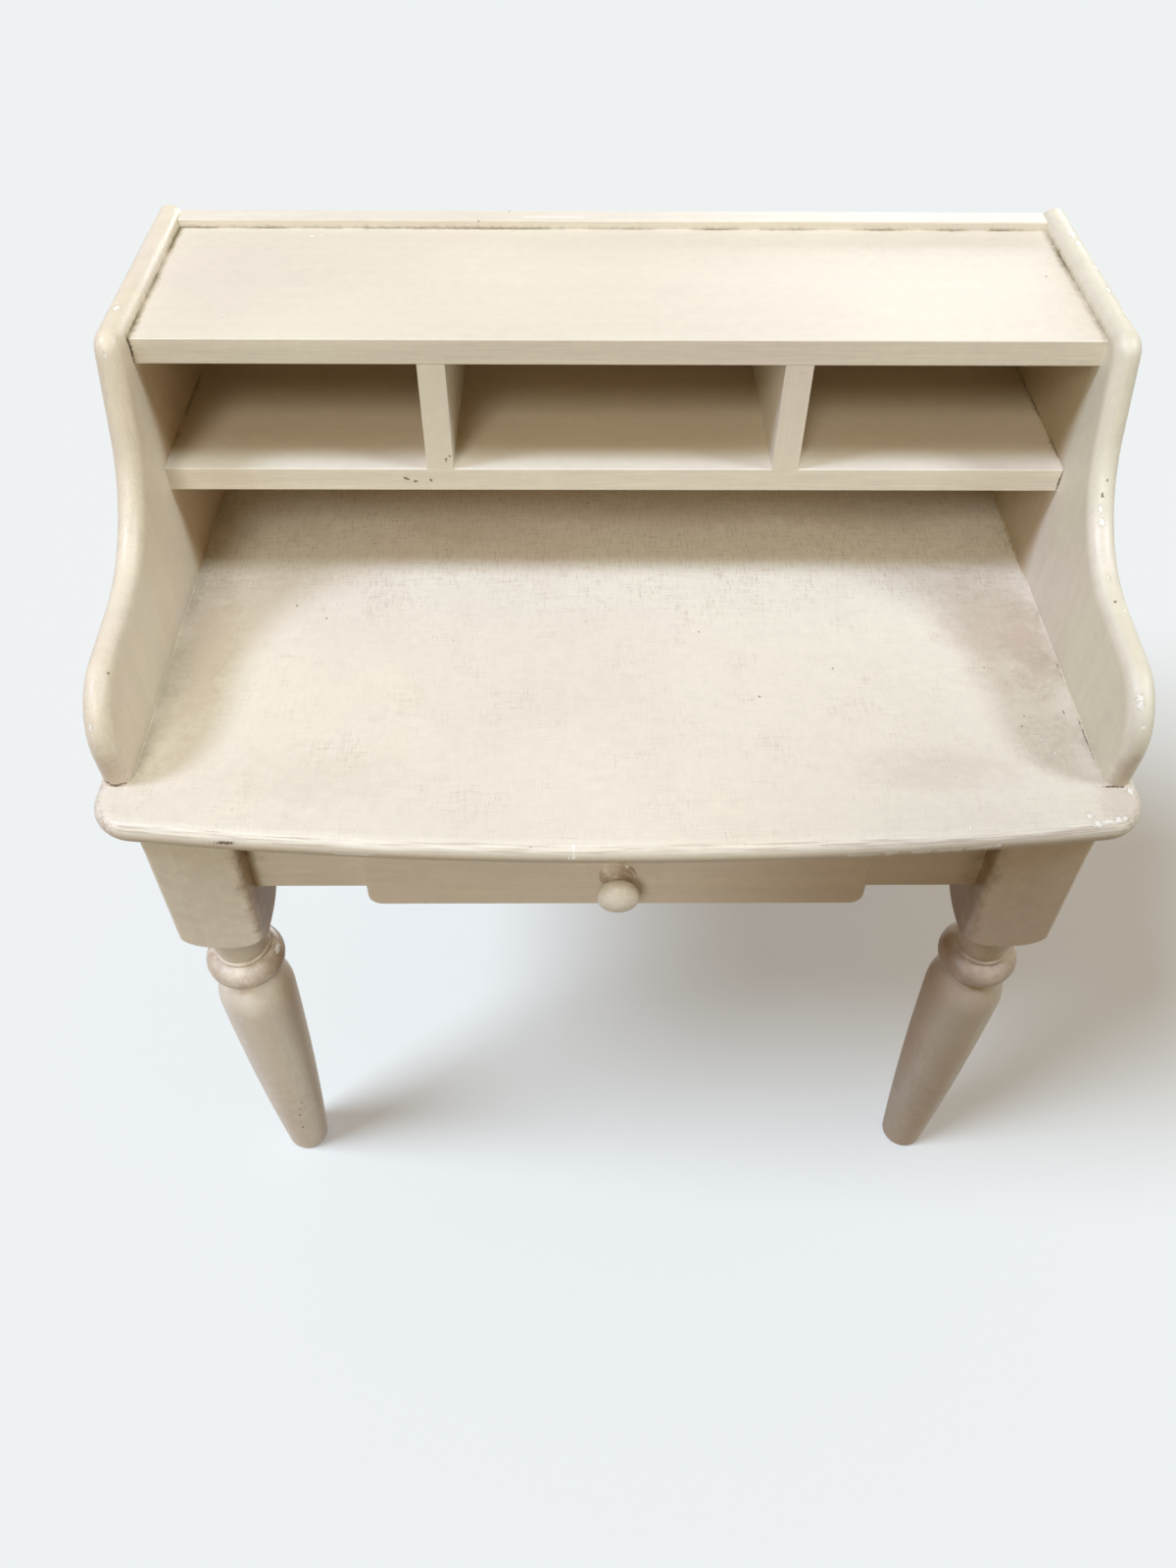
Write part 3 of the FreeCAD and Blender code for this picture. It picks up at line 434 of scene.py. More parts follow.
# %% The painted finish
CREAM, GREEN_CREAM, PINK_CREAM = (0.85, 0.79, 0.69, 1), (0.82, 0.77, 0.64, 1), (0.82, 0.735, 0.65, 1)


def painted(name, stretch=(12, 520, 520), tone=0.12, relief=0.6, nicks=0.25, polish_and_highlight=0.0, drag=1.5, quiet=0.0,
            streaks=0.0, bow=0.0, cream=CREAM, strength=0.75, crossed=None, joints=(), flakes=(), cracks=(),
            chips=(), scars=(), stains_and_shade=(), shade_boxes=()):
    """Cream paint for one piece. Chips and flakes show the undercoat; scars and cracks are dark. quiet calms
    the strokes on faces that look up, where the paint could level out. streaks is the brown left in the
    strokes on edges. bow bends the strokes to a bowed front: how far back it swings for each metre sideways,
    squared. crossed says where strokes that cross are rubbed thin. The shade boxes and most stains are
    painted shade, and the polish pales the edges partly as painted highlight."""
    material = bpy.data.materials.new(name)
    material.use_nodes = True
    tree = material.node_tree
    surface = tree.nodes["Principled BSDF"]
    here = place(tree, "TexCoord").outputs
    spot = here["Object"]
    across = parts(tree, spot)
    swung = number(tree, "MULTIPLY_ADD", times(tree, across[0], across[0]), -bow, across[1])
    followed = place(tree, "CombineXYZ", {}, {0: across[0], 1: swung, 2: across[2]}).outputs[0]
    tints = {"Cream": cream, "Green": GREEN_CREAM, "Pink": PINK_CREAM, "Strength": strength}
    colour = effect(tree, cloudy_cream, {"Vector": spot, **tints})["Color"]
    strokes = effect(tree, brush_marks, {"Vector": followed, "Stretch": stretch})
    worn = effect(tree, edge_wear, {"Vector": spot, "Normal": here["Normal"], "Nicks": nicks})
    pale = [patch(tree, spot, chip, *one) for one in chips]
    deep = [patch(tree, spot, chip, *one) for one in scars]
    lost = [torn(tree, spot, *row, FLAKE_GAPS) for row in flakes]
    split = [times(tree, torn(tree, spot, *row, CRACK_GAPS), CRACKS_SHOW) for row in cracks]
    specked = effect(tree, specks, {"Vector": spot})["Specks"]
    masks = {"Bare": [worn["Bare"], *lost] + [one["Bare"] for one in pale],
             "Dark": [specked, *split] + [one["Bare"] for one in deep],
             "Rim": [one["Rim"] for one in pale + deep],
             "Dirt and shade": [dirt_and_shade_along(tree, spot, *joint) for joint in joints],
             "Stain and shade": [times(tree, patch(tree, spot, stain_and_shade, *where)["Stain and shade"], amount) for *where, amount in stains_and_shade],
             "Painted shade": [shaded(tree, spot, *box) for box in shade_boxes]}
    looks_up = parts(tree, here["Normal"])[2]
    calmed = number(tree, "MULTIPLY_ADD", number(tree, "ABSOLUTE", looks_up), -quiet * tone, tone)
    browned = times(tree, times(tree, worn["Edge"], streaks), fade(tree, strokes["Furrows"], 0.48, 0.62))
    sockets = {"Cream": colour, "Furrows": strokes["Furrows"], "Bands": strokes["Bands"], "Threads": browned,
               "Furrow tone": calmed, "Edge": worn["Edge"], "Polish and highlight": polish_and_highlight, "Drag": drag}
    sockets.update({kind: together(tree, several) for kind, several in masks.items()})
    if crossed:
        threads = effect(tree, crossed_strokes, {"Vector": spot, "Worn": crossed(tree, spot)})
        mixed = place(tree, "Mix", {}, {0: worn["Edge"], 2: threads["Furrows"], 3: strokes["Furrows"]}).outputs[0]
        on_top = times(tree, threads["Threads"], fade(tree, looks_up, 0.6, 0.95))
        sockets.update({"Furrows": mixed, "Bands": 0.5, "Threads": number(tree, "MAXIMUM", browned, on_top)})
    coat = effect(tree, paint_coat, sockets)
    bump = place(tree, "Bump", {}, {"Strength": relief, "Distance": 0.0004, "Height": coat["Height"]}).outputs[0]
    for socket, value in (("Base Color", coat["Color"]), ("Roughness", coat["Roughness"]), ("Normal", bump)):
        tree.links.new(value, surface.inputs[socket])
    surface.inputs["Specular IOR Level"].default_value = 0.35
    surface.inputs["Coat Weight"].default_value = 0.08
    surface.inputs["Coat Roughness"].default_value = 0.25
    return material


def dress(material, *names):
    """Gives the named fixed pieces this material."""
    for name in names:
        slots = nodes[name].data.materials
        slots.clear()
        slots.append(material)
    print(material.name, "on", ", ".join(names))


print("paint can be mixed")

# %% [markdown]
# ## The writing top
# The widest surface shows the most: crossed strokes, pinkish thin patches at the back where the light is
# low, dirt at the foot of the gallery, chips on the rounded front edge, and painted shade beside the gallery
# sides, under the lower shelf and on the underside of the front edge.

# %% Levels and joints of the top
SIDE_FACE, SHELF_FRONT, BACK_FACE = 479.5, 66.5, 309.0
PANEL_CENTRE, PANEL_FOOT = 493.5, -240.0
TOP_FACE, LOWER_SHELF_FACE, TOP_SHELF_FACE = 756.0, 905.3, 1052.5


def foot_joints(reach, amount):
    """The joints between the gallery sides and the top."""
    return [((side * SIDE_FACE, PANEL_FOOT, TOP_FACE), (side * SIDE_FACE, BACK_FACE, TOP_FACE), reach, amount)
            for side in (-1, 1)]


def rubbed_back(tree, spot):
    """Thin paint towards the back of the top, fading out by its middle."""
    return fade(tree, parts(tree, spot)[1], -0.05, 0.17)


# The last joint, with its long reach beside the right gallery side, is painted shade.
top_joints_and_shade = foot_joints(26, 0.42) + [
    ((-SIDE_FACE, BACK_FACE, TOP_FACE), (SIDE_FACE, BACK_FACE, TOP_FACE), 14, 0.4),
    ((SIDE_FACE, -190, TOP_FACE), (SIDE_FACE, 110, TOP_FACE), 85, 0.34)]
foot_crack = ((SIDE_FACE - 1.8, PANEL_FOOT, TOP_FACE), (SIDE_FACE - 1.8, BACK_FACE, TOP_FACE), 0.5)
print("joints on the top:", len(top_joints_and_shade))

# %% Marks on the top
front_chips = [((-50.3, -333, 744), (1.6, 3, 2)), ((349, -318.6, 742), (3.6, 3, 2.4)),
               ((361.6, -317.6, 743), (3, 3, 3)), ((334.3, -306, 756), (1.2, 3, 2))]
front_flakes = [((217, -328.2, 741), (246, -326.5, 740.5), 2.0), ((254, -326, 740.5), (326, -320.8, 740.5), 3.2),
                ((333, -320, 741), (356, -318, 743), 2.5), ((-273, -324.7, 741.5), (-236, -327, 741.5), 1.2),
                ((-45.6, -326.5, 754.4), (-45.6, -333.7, 744), 1.5)]
front_cracks = [((155, -326.5, 752.4), (196, -325.8, 751.6), 0.7), ((-104, -327, 753.4), (-70, -327.6, 753.4), 0.6),
                ((-312, -322, 742.6), (-290, -323.6, 742.2), 0.9), ((430, -303, 744), (460, -297, 746), 0.6)]
corner_chips = [((453.4, -292, 756), (3, 4, 3)), ((459, -301, 754.5), (3.5, 3, 3)), ((470, -298, 755), (5, 1.6, 3)),
                ((480, -296.5, 755), (4, 3.4, 3)), ((488, -294, 755), (3, 2, 3)), ((502, -260, 756), (4, 3, 3)),
                ((431.8, -190.2, 756), (1.4, 1.8, 2)), ((441.8, -209.2, 756), (1.6, 2.2, 2))]
top_scars = [((-378, -316, 746), (11, 2, 2)), ((487, -254.4, 756), (9, 1.2, 3)), ((465.6, -150, 756), (0.7, 3, 2)),
             ((422.8, -156.4, 756), (0.8, 0.8, 0.8)), ((397.6, -81.8, 756), (0.9, 0.9, 0.9)),
             ((-357.5, 20, 756), (1.2, 1, 1.2)), ((-321.5, -2, 756), (1, 1, 1.2)),
             ((93.3, -24.6, 756), (1.2, 1, 1.2)), ((-27.6, 216, 756), (1.2, 1, 1.2))]
# The patches beside the gallery sides, by the right foot and under the lower shelf are painted shade.
top_stains_and_shade = [((450, -40, 756), (44, 96, 20), 0.5), ((418, 0, 756), (70, 130, 20), 0.28),
              ((495, -270, 752), (34, 40, 22), 0.3), ((-180, 165, 756), (110, 40, 20), 0.25),
              ((60, 190, 756), (160, 40, 20), 0.25), ((300, 190, 756), (110, 45, 20), 0.3),
              ((-390, 175, 756), (60, 60, 20), 0.25), ((-440, -60, 756), (34, 160, 20), 0.32),
              ((330, -230, 756), (100, 40, 20), 0.2), ((-300, -240, 756), (130, 50, 20), 0.15)]
print("chips on the top:", len(front_chips + corner_chips), "scars:", len(top_scars), "stains:", len(top_stains_and_shade))

# %% The writing top
TOP_CREAM, FRONT_BOW = (0.838, 0.79, 0.69, 1), 0.124
# Painted shade under the lower shelf and on the underside of the front edge.
SHADE_UNDER_SHELF = ((-500, 66, 600), (500, 340, 780), (10, 110, 10), 0.3)
SHADE_UNDER_EDGE = ((-700, -500, 600), (700, -280, 753), (20, 40, 18), 0.9)
top_paint = painted("writing_top_paint", (15, 400, 560), tone=0.2, relief=0.7, nicks=0.35, drag=2.2, streaks=0.95,
                    bow=FRONT_BOW, cream=TOP_CREAM, strength=0.6, crossed=rubbed_back, joints=top_joints_and_shade,
                    flakes=front_flakes, cracks=front_cracks + [foot_crack], chips=front_chips + corner_chips,
                    scars=top_scars, stains_and_shade=top_stains_and_shade, shade_boxes=[SHADE_UNDER_SHELF, SHADE_UNDER_EDGE])
dress(top_paint, "writing_top")

# %% [markdown]
# ## The gallery
# The side boards were brushed up and down. Their rounded edge is the part that gets knocked, and the
# right-hand one has lost the most paint.

# %% Joints of the gallery
def shelf_ends(face, reach, amount):
    """The two joints between a shelf's upper face and the gallery sides."""
    return [((side * SIDE_FACE, SHELF_FRONT, face), (side * SIDE_FACE, BACK_FACE, face), reach, amount)
            for side in (-1, 1)]


def shelf_cracks(face, half_width):
    """The same two joints as cracks in the paint."""
    return [(start, end, half_width) for start, end, _, _ in shelf_ends(face, 1, 1)]


gallery_joints = foot_joints(12, 0.2) + shelf_ends(TOP_SHELF_FACE, 6, 1.0) + shelf_ends(LOWER_SHELF_FACE, 5, 0.7)
gallery_cracks = shelf_cracks(TOP_SHELF_FACE, 0.6) + shelf_cracks(LOWER_SHELF_FACE, 0.5)
print("joints in the gallery:", len(gallery_joints))

# %% Gallery sides
right_chips = [((494.8, 271, 1067), (3, 9, 3)), ((496, 248, 1067), (3, 7, 3)), ((500, 194.6, 1065.5), (3.5, 6, 3)),
               ((497, 143, 1066.6), (2, 6, 3)), ((503.5, 97.6, 1063), (4, 12, 4)), ((489.3, -22, 918), (2, 5, 4)),
               ((490.3, -32, 909.3), (2.4, 5, 4)), ((491.4, -86, 882), (1.6, 5, 4)),
               ((488, -228, 852.6), (3, 3.4, 4)), ((489, -233.7, 848), (3, 3.4, 4)),
               ((493, -246.8, 832), (2, 3, 3)), ((497, -126.2, 873), (1.5, 2, 1.6))]
right_scars = [((490.4, -12.6, 929), (1.2, 2, 2)), ((494, -4.3, 940.8), (0.8, 1, 1.4)),
               ((491.4, -114.3, 874.4), (1.1, 1.4, 1.1)), ((488, -205, 863), (1, 1.2, 1))]
left_chips = [((-493, 99, 1067), (3, 5, 3)), ((-494, 37.5, 1050), (1.6, 2.4, 3)), ((-497.8, -246, 832), (2, 3, 6))]
left_scars = [((-490, -254, 759), (7, 6, 1.5)), ((-481, -252, 761), (2.4, 3, 2)), ((-500, -252, 762), (3, 3, 1.6))]
SHADED_GREEN, SHADED_CREAM = (0.80, 0.755, 0.605, 1), (0.84, 0.745, 0.59, 1)
# Painted shade inside the pigeonholes, and the polish pales the sides' rounded edges partly as painted highlight.
PIGEONHOLE_SHADE = ((-481, 62, 700), (481, 400, 1046), (1, 30, 12), 1.0)
for side, hand, chips, scars, nicks, polish_and_highlight, cream in (
        (1, "right", right_chips, right_scars, 0.5, 0.35, SHADED_GREEN),
        (-1, "left", left_chips, left_scars, 0.32, 0.1, SHADED_CREAM)):
    # The brown patch on the front of each foot is painted shade.
    foot_shade = ((side * PANEL_CENTRE, -258, 768), (26, 20, 42), 0.55)
    side_paint = painted("gallery_%s_paint" % hand, (420, 420, 14), nicks=nicks, polish_and_highlight=polish_and_highlight, cream=cream,
                         joints=gallery_joints, cracks=gallery_cracks, chips=chips, scars=scars,
                         stains_and_shade=[foot_shade], shade_boxes=[PIGEONHOLE_SHADE])
    dress(side_paint, "gallery_side_" + hand)

# %% [markdown]
# The shelves were brushed along their length, and the strokes show most on their narrow fronts. Where the
# dirt at the foot of the back ledge has shrunk, the paint has cracked along it.

# %% Top shelf
SHELF_CREAM, ALONG_SHELF = (0.82, 0.755, 0.64, 1), (16, 420, 420)
ledge_line = ((-SIDE_FACE, BACK_FACE, TOP_SHELF_FACE), (SIDE_FACE, BACK_FACE, TOP_SHELF_FACE))
ledge_joint, ledge_crack = [(*ledge_line, 4, 0.8)], [(*ledge_line, 0.55)]
top_shelf_chips = [((-331.6, 289, 1052.5), (3, 3, 2)), ((-321, 292, 1052.5), (6, 1.3, 2)),
                   ((-393.7, 114, 1052.5), (2, 1.2, 2))]
top_shelf_scars = [((-479, 66.5, 1041), (1.6, 4, 13)), ((453, 201.6, 1052.5), (1, 1.4, 1))]
# The box under the top shelf is painted shade, and the polish pales its edges partly as painted highlight.
dress(painted("top_shelf_paint", ALONG_SHELF, tone=0.3, quiet=0.8, polish_and_highlight=0.5, cream=SHELF_CREAM,
              joints=shelf_ends(TOP_SHELF_FACE, 7, 0.9) + ledge_joint,
              cracks=ledge_crack + shelf_cracks(TOP_SHELF_FACE, 0.6), chips=top_shelf_chips, scars=top_shelf_scars,
              shade_boxes=[((-500, 72, 1000), (500, 400, 1040), (10, 50, 10), 0.5)]), "top_shelf")

# %% Lower shelf
lower_shelf_scars = [((-225, 66, 893.4), (2, 2, 1.6)), ((-222, 66, 892), (1.2, 2, 1.2)),
                     ((-214.9, 66, 889.7), (2.2, 2, 1.4)), ((-198, 66, 891), (1.6, 2, 1.6)),
                     ((479, 66.5, 892), (1.4, 4, 12))]
# The box on and under the lower shelf is painted shade, and the polish pales its edges partly as painted highlight.
dress(painted("lower_shelf_paint", ALONG_SHELF, tone=0.3, quiet=0.75, polish_and_highlight=0.5, cream=SHELF_CREAM,
              joints=shelf_ends(LOWER_SHELF_FACE, 5, 0.7), cracks=shelf_cracks(LOWER_SHELF_FACE, 0.6),
              scars=lower_shelf_scars, shade_boxes=[((-500, 72, 800), (500, 400, 1000), (10, 60, 10), 0.9)]),
      "lower_shelf")

# %% Back and dividers
# The box low on the back, inside the pigeonholes, is painted shade.
dress(painted("gallery_back_paint", (14, 420, 520), tone=0.2, nicks=0.5, joints=ledge_joint, cracks=ledge_crack,
              flakes=[((-100, 318, 1061.8), (-35, 318, 1061.8), 1.4)],
              shade_boxes=[((-500, 200, 700), (500, 320, 1054), (10, 10, 10), 0.12)]), "gallery_back")
divider_scars = [((-180, 66.5, 916), (1.2, 2, 2)), ((-176, 66.5, 921), (1, 2, 1.4))]
divider_paint = painted("divider_paint", (420, 420, 14), cream=SHELF_CREAM, scars=divider_scars)
dress(divider_paint, "divider_left", "divider_right")

# %% [markdown]
# ## Under the top
# The aprons and the drawer front were brushed along their length. The legs were turned, so their strokes
# run round the beads and along the taper. The paint down here is a little pinker than on the top. It is
# darker on the sides that face inwards, in the turned hollows, on the right legs, on the right half of the
# drawer front and aprons, and round the knob: all of that is painted shade.

# %% Aprons, drawer front and knob
# The knob's paint is lighter than the drawer front's as painted light.
LOW_CREAM, KNOB_CREAM_LIT, ALONG_APRON = (0.87, 0.77, 0.68, 1), (0.94, 0.88, 0.785, 1), (14, 420, 420)
# Painted shadow on the right half of the aprons and the drawer front.
RIGHT_HALF_SHADOW = ((30, -400, 500), (700, 10, 800), (240, 10, 10), 0.72)
APRON_FACE, APRON_TOP, APRON_FOOT, LEG_INSIDE = -266, 728, 612, 382
apron_ends = [((side * LEG_INSIDE, APRON_FACE, APRON_TOP), (side * LEG_INSIDE, APRON_FACE, APRON_FOOT))
              for side in (-1, 1)]
end_joints, end_cracks = [(*line, 26, 0.55) for line in apron_ends], [(*line, 1.0) for line in apron_ends]
dress(painted("apron_paint", ALONG_APRON, tone=0.16, cream=LOW_CREAM, joints=end_joints, cracks=end_cracks,
              shade_boxes=[RIGHT_HALF_SHADOW]), "front_apron_left", "front_apron_right", "rear_apron")
dress(painted("side_apron_paint", (420, 14, 420), tone=0.16, cream=LOW_CREAM), "side_apron_left", "side_apron_right")
# The stain round the knob's foot on the drawer front is painted shadow of the knob, and the stain on the knob's neck
# is painted shade.
dress(painted("drawer_front_paint", ALONG_APRON, tone=0.16, nicks=0.4, cream=LOW_CREAM,
              stains_and_shade=[((8, -273, 650), (44, 30, 30), 0.3)], shade_boxes=[RIGHT_HALF_SHADOW]), "drawer_front")
dress(painted("knob_lit_paint", (260, 260, 260), tone=0.16, nicks=0.1, cream=KNOB_CREAM_LIT,
              chips=[((9.7, -276.6, 658.3), (5, 2, 2)), ((2, -312, 624), (1.4, 2, 1.4))],
              stains_and_shade=[((0, -280, 642), (34, 15, 34), 1.0)]), "drawer_knob")

# %% Legs
LEG_CENTRE, LEG_DEPTH = 427.5, -247
leg_chips = [((-388.7, -247.4, 468.9), (3, 7, 3.4)), ((-391, -252, 461), (2, 4, 3)),
             ((-441.8, -289.9, 381.8), (2.4, 2, 3.2)), ((-461.7, -292.5, 578.2), (1.2, 1, 2.4))]
leg_scars = [((-409, -278, 149), (1.2, 2, 1.6)), ((-413, -279, 133), (1, 2, 1.2)), ((-417, -280, 116), (1.4, 2, 2)),
             ((-419, -279, 96), (1, 2, 1.4)), ((-420, -278, 77), (1.4, 2, 2))]
# Painted shade on the faces of the legs that look inwards and on the right feet.
INWARD_SHADE = ((-404, -291, -100), (404, 400, 760), (22, 12, 10), 1.0)
RIGHT_FEET_SHADE = ((300, -600, -300), (600, 600, 260), (10, 10, 240), 0.55)


def leg_paint(name, cream, side):
    """Paint for the legs of one side, with painted shade in the turned hollows and on the faces that look inwards.
    """
    # The rings on the block, the bead and the hollows beside it and the foot are painted shade, and so is the stain
    # on the inward face.
    rings = ((630, (80, 80, 130), 0.24), (458, (70, 70, 34), 0.9), (431, (70, 70, 11), 0.4),
             (477, (70, 70, 8), 0.5), (30, (90, 90, 250), 0.3))
    stains_and_shade = [((side * LEG_CENTRE, LEG_DEPTH, height), half, amount) for height, half, amount in rings]
    stains_and_shade.append(((side * LEG_INSIDE, -245, 600), (14, 80, 190), 1.0))
    return painted(name, (330, 330, 16), tone=0.09, nicks=0.2, cream=cream, joints=end_joints, cracks=end_cracks,
                   chips=leg_chips, scars=leg_scars, stains_and_shade=stains_and_shade, shade_boxes=[INWARD_SHADE, RIGHT_FEET_SHADE])


# The right legs' paint is darker and browner than the left legs': painted shade.
dress(leg_paint("left_leg_paint", (0.86, 0.78, 0.67, 1), -1), "leg_front_left", "leg_rear_left")
dress(leg_paint("right_leg_shaded_paint", (0.79, 0.66, 0.52, 1), 1), "leg_front_right", "leg_rear_right")

# %% [markdown]
# ## Wood and steel that never saw the brush
# The drawer's sides, the runners and the glue blocks are bare softwood: pale, with growth rings that show
# as long soft lines. Screws are plain steel.

# %% Effect: softwood grain
EARLY_WOOD, LATE_WOOD, PORE_BROWN = (0.70, 0.52, 0.33), (0.55, 0.36, 0.19), (0.45, 0.3, 0.17)
wood_grain, given, out = begin("Softwood grain", {"Vector": NOWHERE, "Along": (3, 60, 60)}, ("Color", "Height"))
tree = wood_grain
squeezed = vector(tree, "MULTIPLY", given["Vector"], given["Along"])
rings = place(tree, "TexNoise", {}, {"Vector": squeezed, "Scale": 1.0, "Detail": 3.0, "Distortion": 0.6}).outputs[0]
pores = noise(tree, squeezed, 14.0, 2.0)
lines = number(tree, "PINGPONG", times(tree, rings, 7.0), 1.0)
pale = blend(tree, fade(tree, lines, 0.1, 0.9), EARLY_WOOD, LATE_WOOD)
tree.links.new(blend(tree, times(tree, pores, 0.3), pale, PORE_BROWN), out["Color"])
tree.links.new(number(tree, "MULTIPLY_ADD", lines, -0.4, pores), out["Height"])
print("effect", wood_grain.name)

# %% Bare wood
def softwood(name, along):
    """Bare planed softwood with its grain along the given direction."""
    material = bpy.data.materials.new(name)
    material.use_nodes = True
    tree = material.node_tree
    surface = tree.nodes["Principled BSDF"]
    grain = effect(tree, wood_grain, {"Vector": place(tree, "TexCoord").outputs["Object"], "Along": along})
    bump = place(tree, "Bump", {}, {"Strength": 0.3, "Distance": 0.0003, "Height": grain["Height"]})
    tree.links.new(grain["Color"], surface.inputs["Base Color"])
    tree.links.new(bump.outputs[0], surface.inputs["Normal"])
    surface.inputs["Roughness"].default_value = 0.62
    return material


dress(softwood("softwood_across", (3, 60, 60)), "drawer_back", "drawer_bottom", "drawer_rail_bottom",
      "drawer_rail_top", "glue_block_front_left", "glue_block_front_right", "glue_block_rear_left",
      "glue_block_rear_right")
dress(softwood("softwood_lengthwise", (60, 3, 60)), "drawer_side_left", "drawer_side_right", "drawer_guide_left",
      "drawer_guide_right", "drawer_kicker_left", "drawer_kicker_right", "drawer_runner_left", "drawer_runner_right",
      "glue_block_side_left", "glue_block_side_right", "drawer_dowels", "divider_dowels", "shelf_dowels")

# %% Steel screws
steel = bpy.data.materials.new("screw_steel")
steel.use_nodes = True
tree = steel.node_tree
surface = tree.nodes["Principled BSDF"]
scratches = noise(tree, place(tree, "TexCoord").outputs["Object"], 900.0, 3.0)
tree.links.new(blend(tree, scratches, (0.42, 0.41, 0.40), (0.66, 0.65, 0.63)), surface.inputs["Base Color"])
tree.links.new(fade(tree, scratches, -0.6, 1.8), surface.inputs["Roughness"])
surface.inputs["Metallic"].default_value = 1.0
dress(steel, "block_screws", "gallery_screws", "knob_screw")

# %% [markdown]
# ## Ridges of paint
# Coat after coat has run down the gallery sides and set in the corner where they stand on the top. There it
# makes a lumpy ridge about 3 mm wide, which turns round the front of each side. It is modelled as a
# small ring that is extruded along the joint, made a little thicker or thinner at each step, spun
# round the foot, and extruded back along the outside.

# %% Paint and sizes of the ridges
RIDGE, STEP = 1.5 * MM, 11 * MM
FOOT_CENTRE, FOOT_FRONT = PANEL_CENTRE * MM, -240.3 * MM
RING_POINTS, TURN_STEPS, LUMPS = 10, 10, (0.8, 1.25)
SAME_PLACE, UNEVEN = 0.00001, 0.0002
CRACK_SIDE, CRACK_LEVEL = SIDE_FACE - 1.3, TOP_FACE + 0.5
ridge_crack = ((CRACK_SIDE, PANEL_FOOT, CRACK_LEVEL), (CRACK_SIDE, BACK_FACE, CRACK_LEVEL), 0.8)
# The ridge has painted shade where it runs into the pigeonholes.
ridge_paint = painted("ridge_paint", (160, 160, 160), tone=0.3, relief=1.0, nicks=0.1, cream=SHADED_GREEN,
                      joints=foot_joints(4, 0.25), cracks=[ridge_crack], shade_boxes=[PIGEONHOLE_SHADE])
chance = random.Random(7)
print("ridges about", round(2 * RIDGE / MM), "mm wide, in steps of", round(STEP / MM), "mm")

# %% Ridges round the feet of the gallery sides
def lengthen(direction, steps):
    """Extrudes the selected ring in even steps, swells each new ring, and tells how swollen the last one is."""
    last = 1.0
    for _ in range(steps):
        factor = chance.uniform(*LUMPS)
        bpy.ops.mesh.extrude_region_move(TRANSFORM_OT_translate={"value": [part * STEP for part in direction]})
        bpy.ops.transform.resize(value=(factor / last, 1, factor / last))
        last = factor
    return last


def foot_ridge(name, side):
    """One ridge along the inside, round the front and along the outside of a gallery side."""
    inside, behind = side * SIDE_FACE * MM, BACK_FACE * MM
    bpy.ops.mesh.primitive_circle_add(vertices=RING_POINTS, radius=RIDGE, location=(inside, behind, TOP_FACE * MM),
                                      rotation=(radians(90), 0, 0))
    ridge = bpy.context.object
    ridge.name = name
    bpy.ops.object.transform_apply(location=True, rotation=True)
    bpy.ops.object.mode_set(mode="EDIT")
    bpy.ops.mesh.select_all(action="SELECT")
    bpy.ops.mesh.edge_face_add()
    steps = round((behind - FOOT_FRONT) / STEP)
    bpy.ops.transform.translate(value=(0, FOOT_FRONT + steps * STEP - behind, 0))
    swollen = lengthen((0, -1, 0), steps)
    bpy.ops.transform.resize(value=(1 / swollen, 1, 1 / swollen))
    bpy.ops.mesh.spin(steps=TURN_STEPS, angle=side * pi, center=(side * FOOT_CENTRE, FOOT_FRONT, TOP_FACE * MM),
                      axis=(0, 0, 1))
    lengthen((0, 1, 0), steps)
    bpy.ops.mesh.select_all(action="SELECT")
    bpy.ops.mesh.remove_doubles(threshold=SAME_PLACE)
    bpy.ops.mesh.normals_make_consistent(inside=False)
    bpy.ops.transform.vertex_random(offset=UNEVEN, seed=5)
    bpy.ops.object.mode_set(mode="OBJECT")
    smooth = ridge.modifiers.new("smooth", "SUBSURF")
    smooth.levels = smooth.render_levels = 1
    bpy.ops.object.modifier_apply(modifier=smooth.name)
    bpy.ops.object.shade_smooth()
    ridge.data.materials.append(ridge_paint)
    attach(ridge, "desk")
    print(name, [round(v / MM) for v in ridge.dimensions], "mm")
    bpy.ops.object.select_all(action="DESELECT")


foot_ridge("paint_ridge_left", -1)
foot_ridge("paint_ridge_right", 1)

# %% [markdown]
# ## Floor and light
# The floor is one large pale sheet. It looks white to the camera but sends only a little warm light back to
# the desk, as a room's floor does. Light Path tells the two apart.

# %% Floor
FLOOR_SEEN, FLOOR_FELT, FLOOR_GLOW = (0.85, 0.83, 0.86), (0.15, 0.10, 0.05), (0.84, 0.88, 0.92, 1)
GLOW_SHARE = 0.3


def looked_at(tree):
    """1 for rays that come from the camera, straight or by way of gloss or glass, and 0 for all others."""
    path = place(tree, "LightPath").outputs
    by_way = number(tree, "MAXIMUM", path["Is Glossy Ray"], path["Is Transmission Ray"])
    return number(tree, "MAXIMUM", path["Is Camera Ray"], by_way)


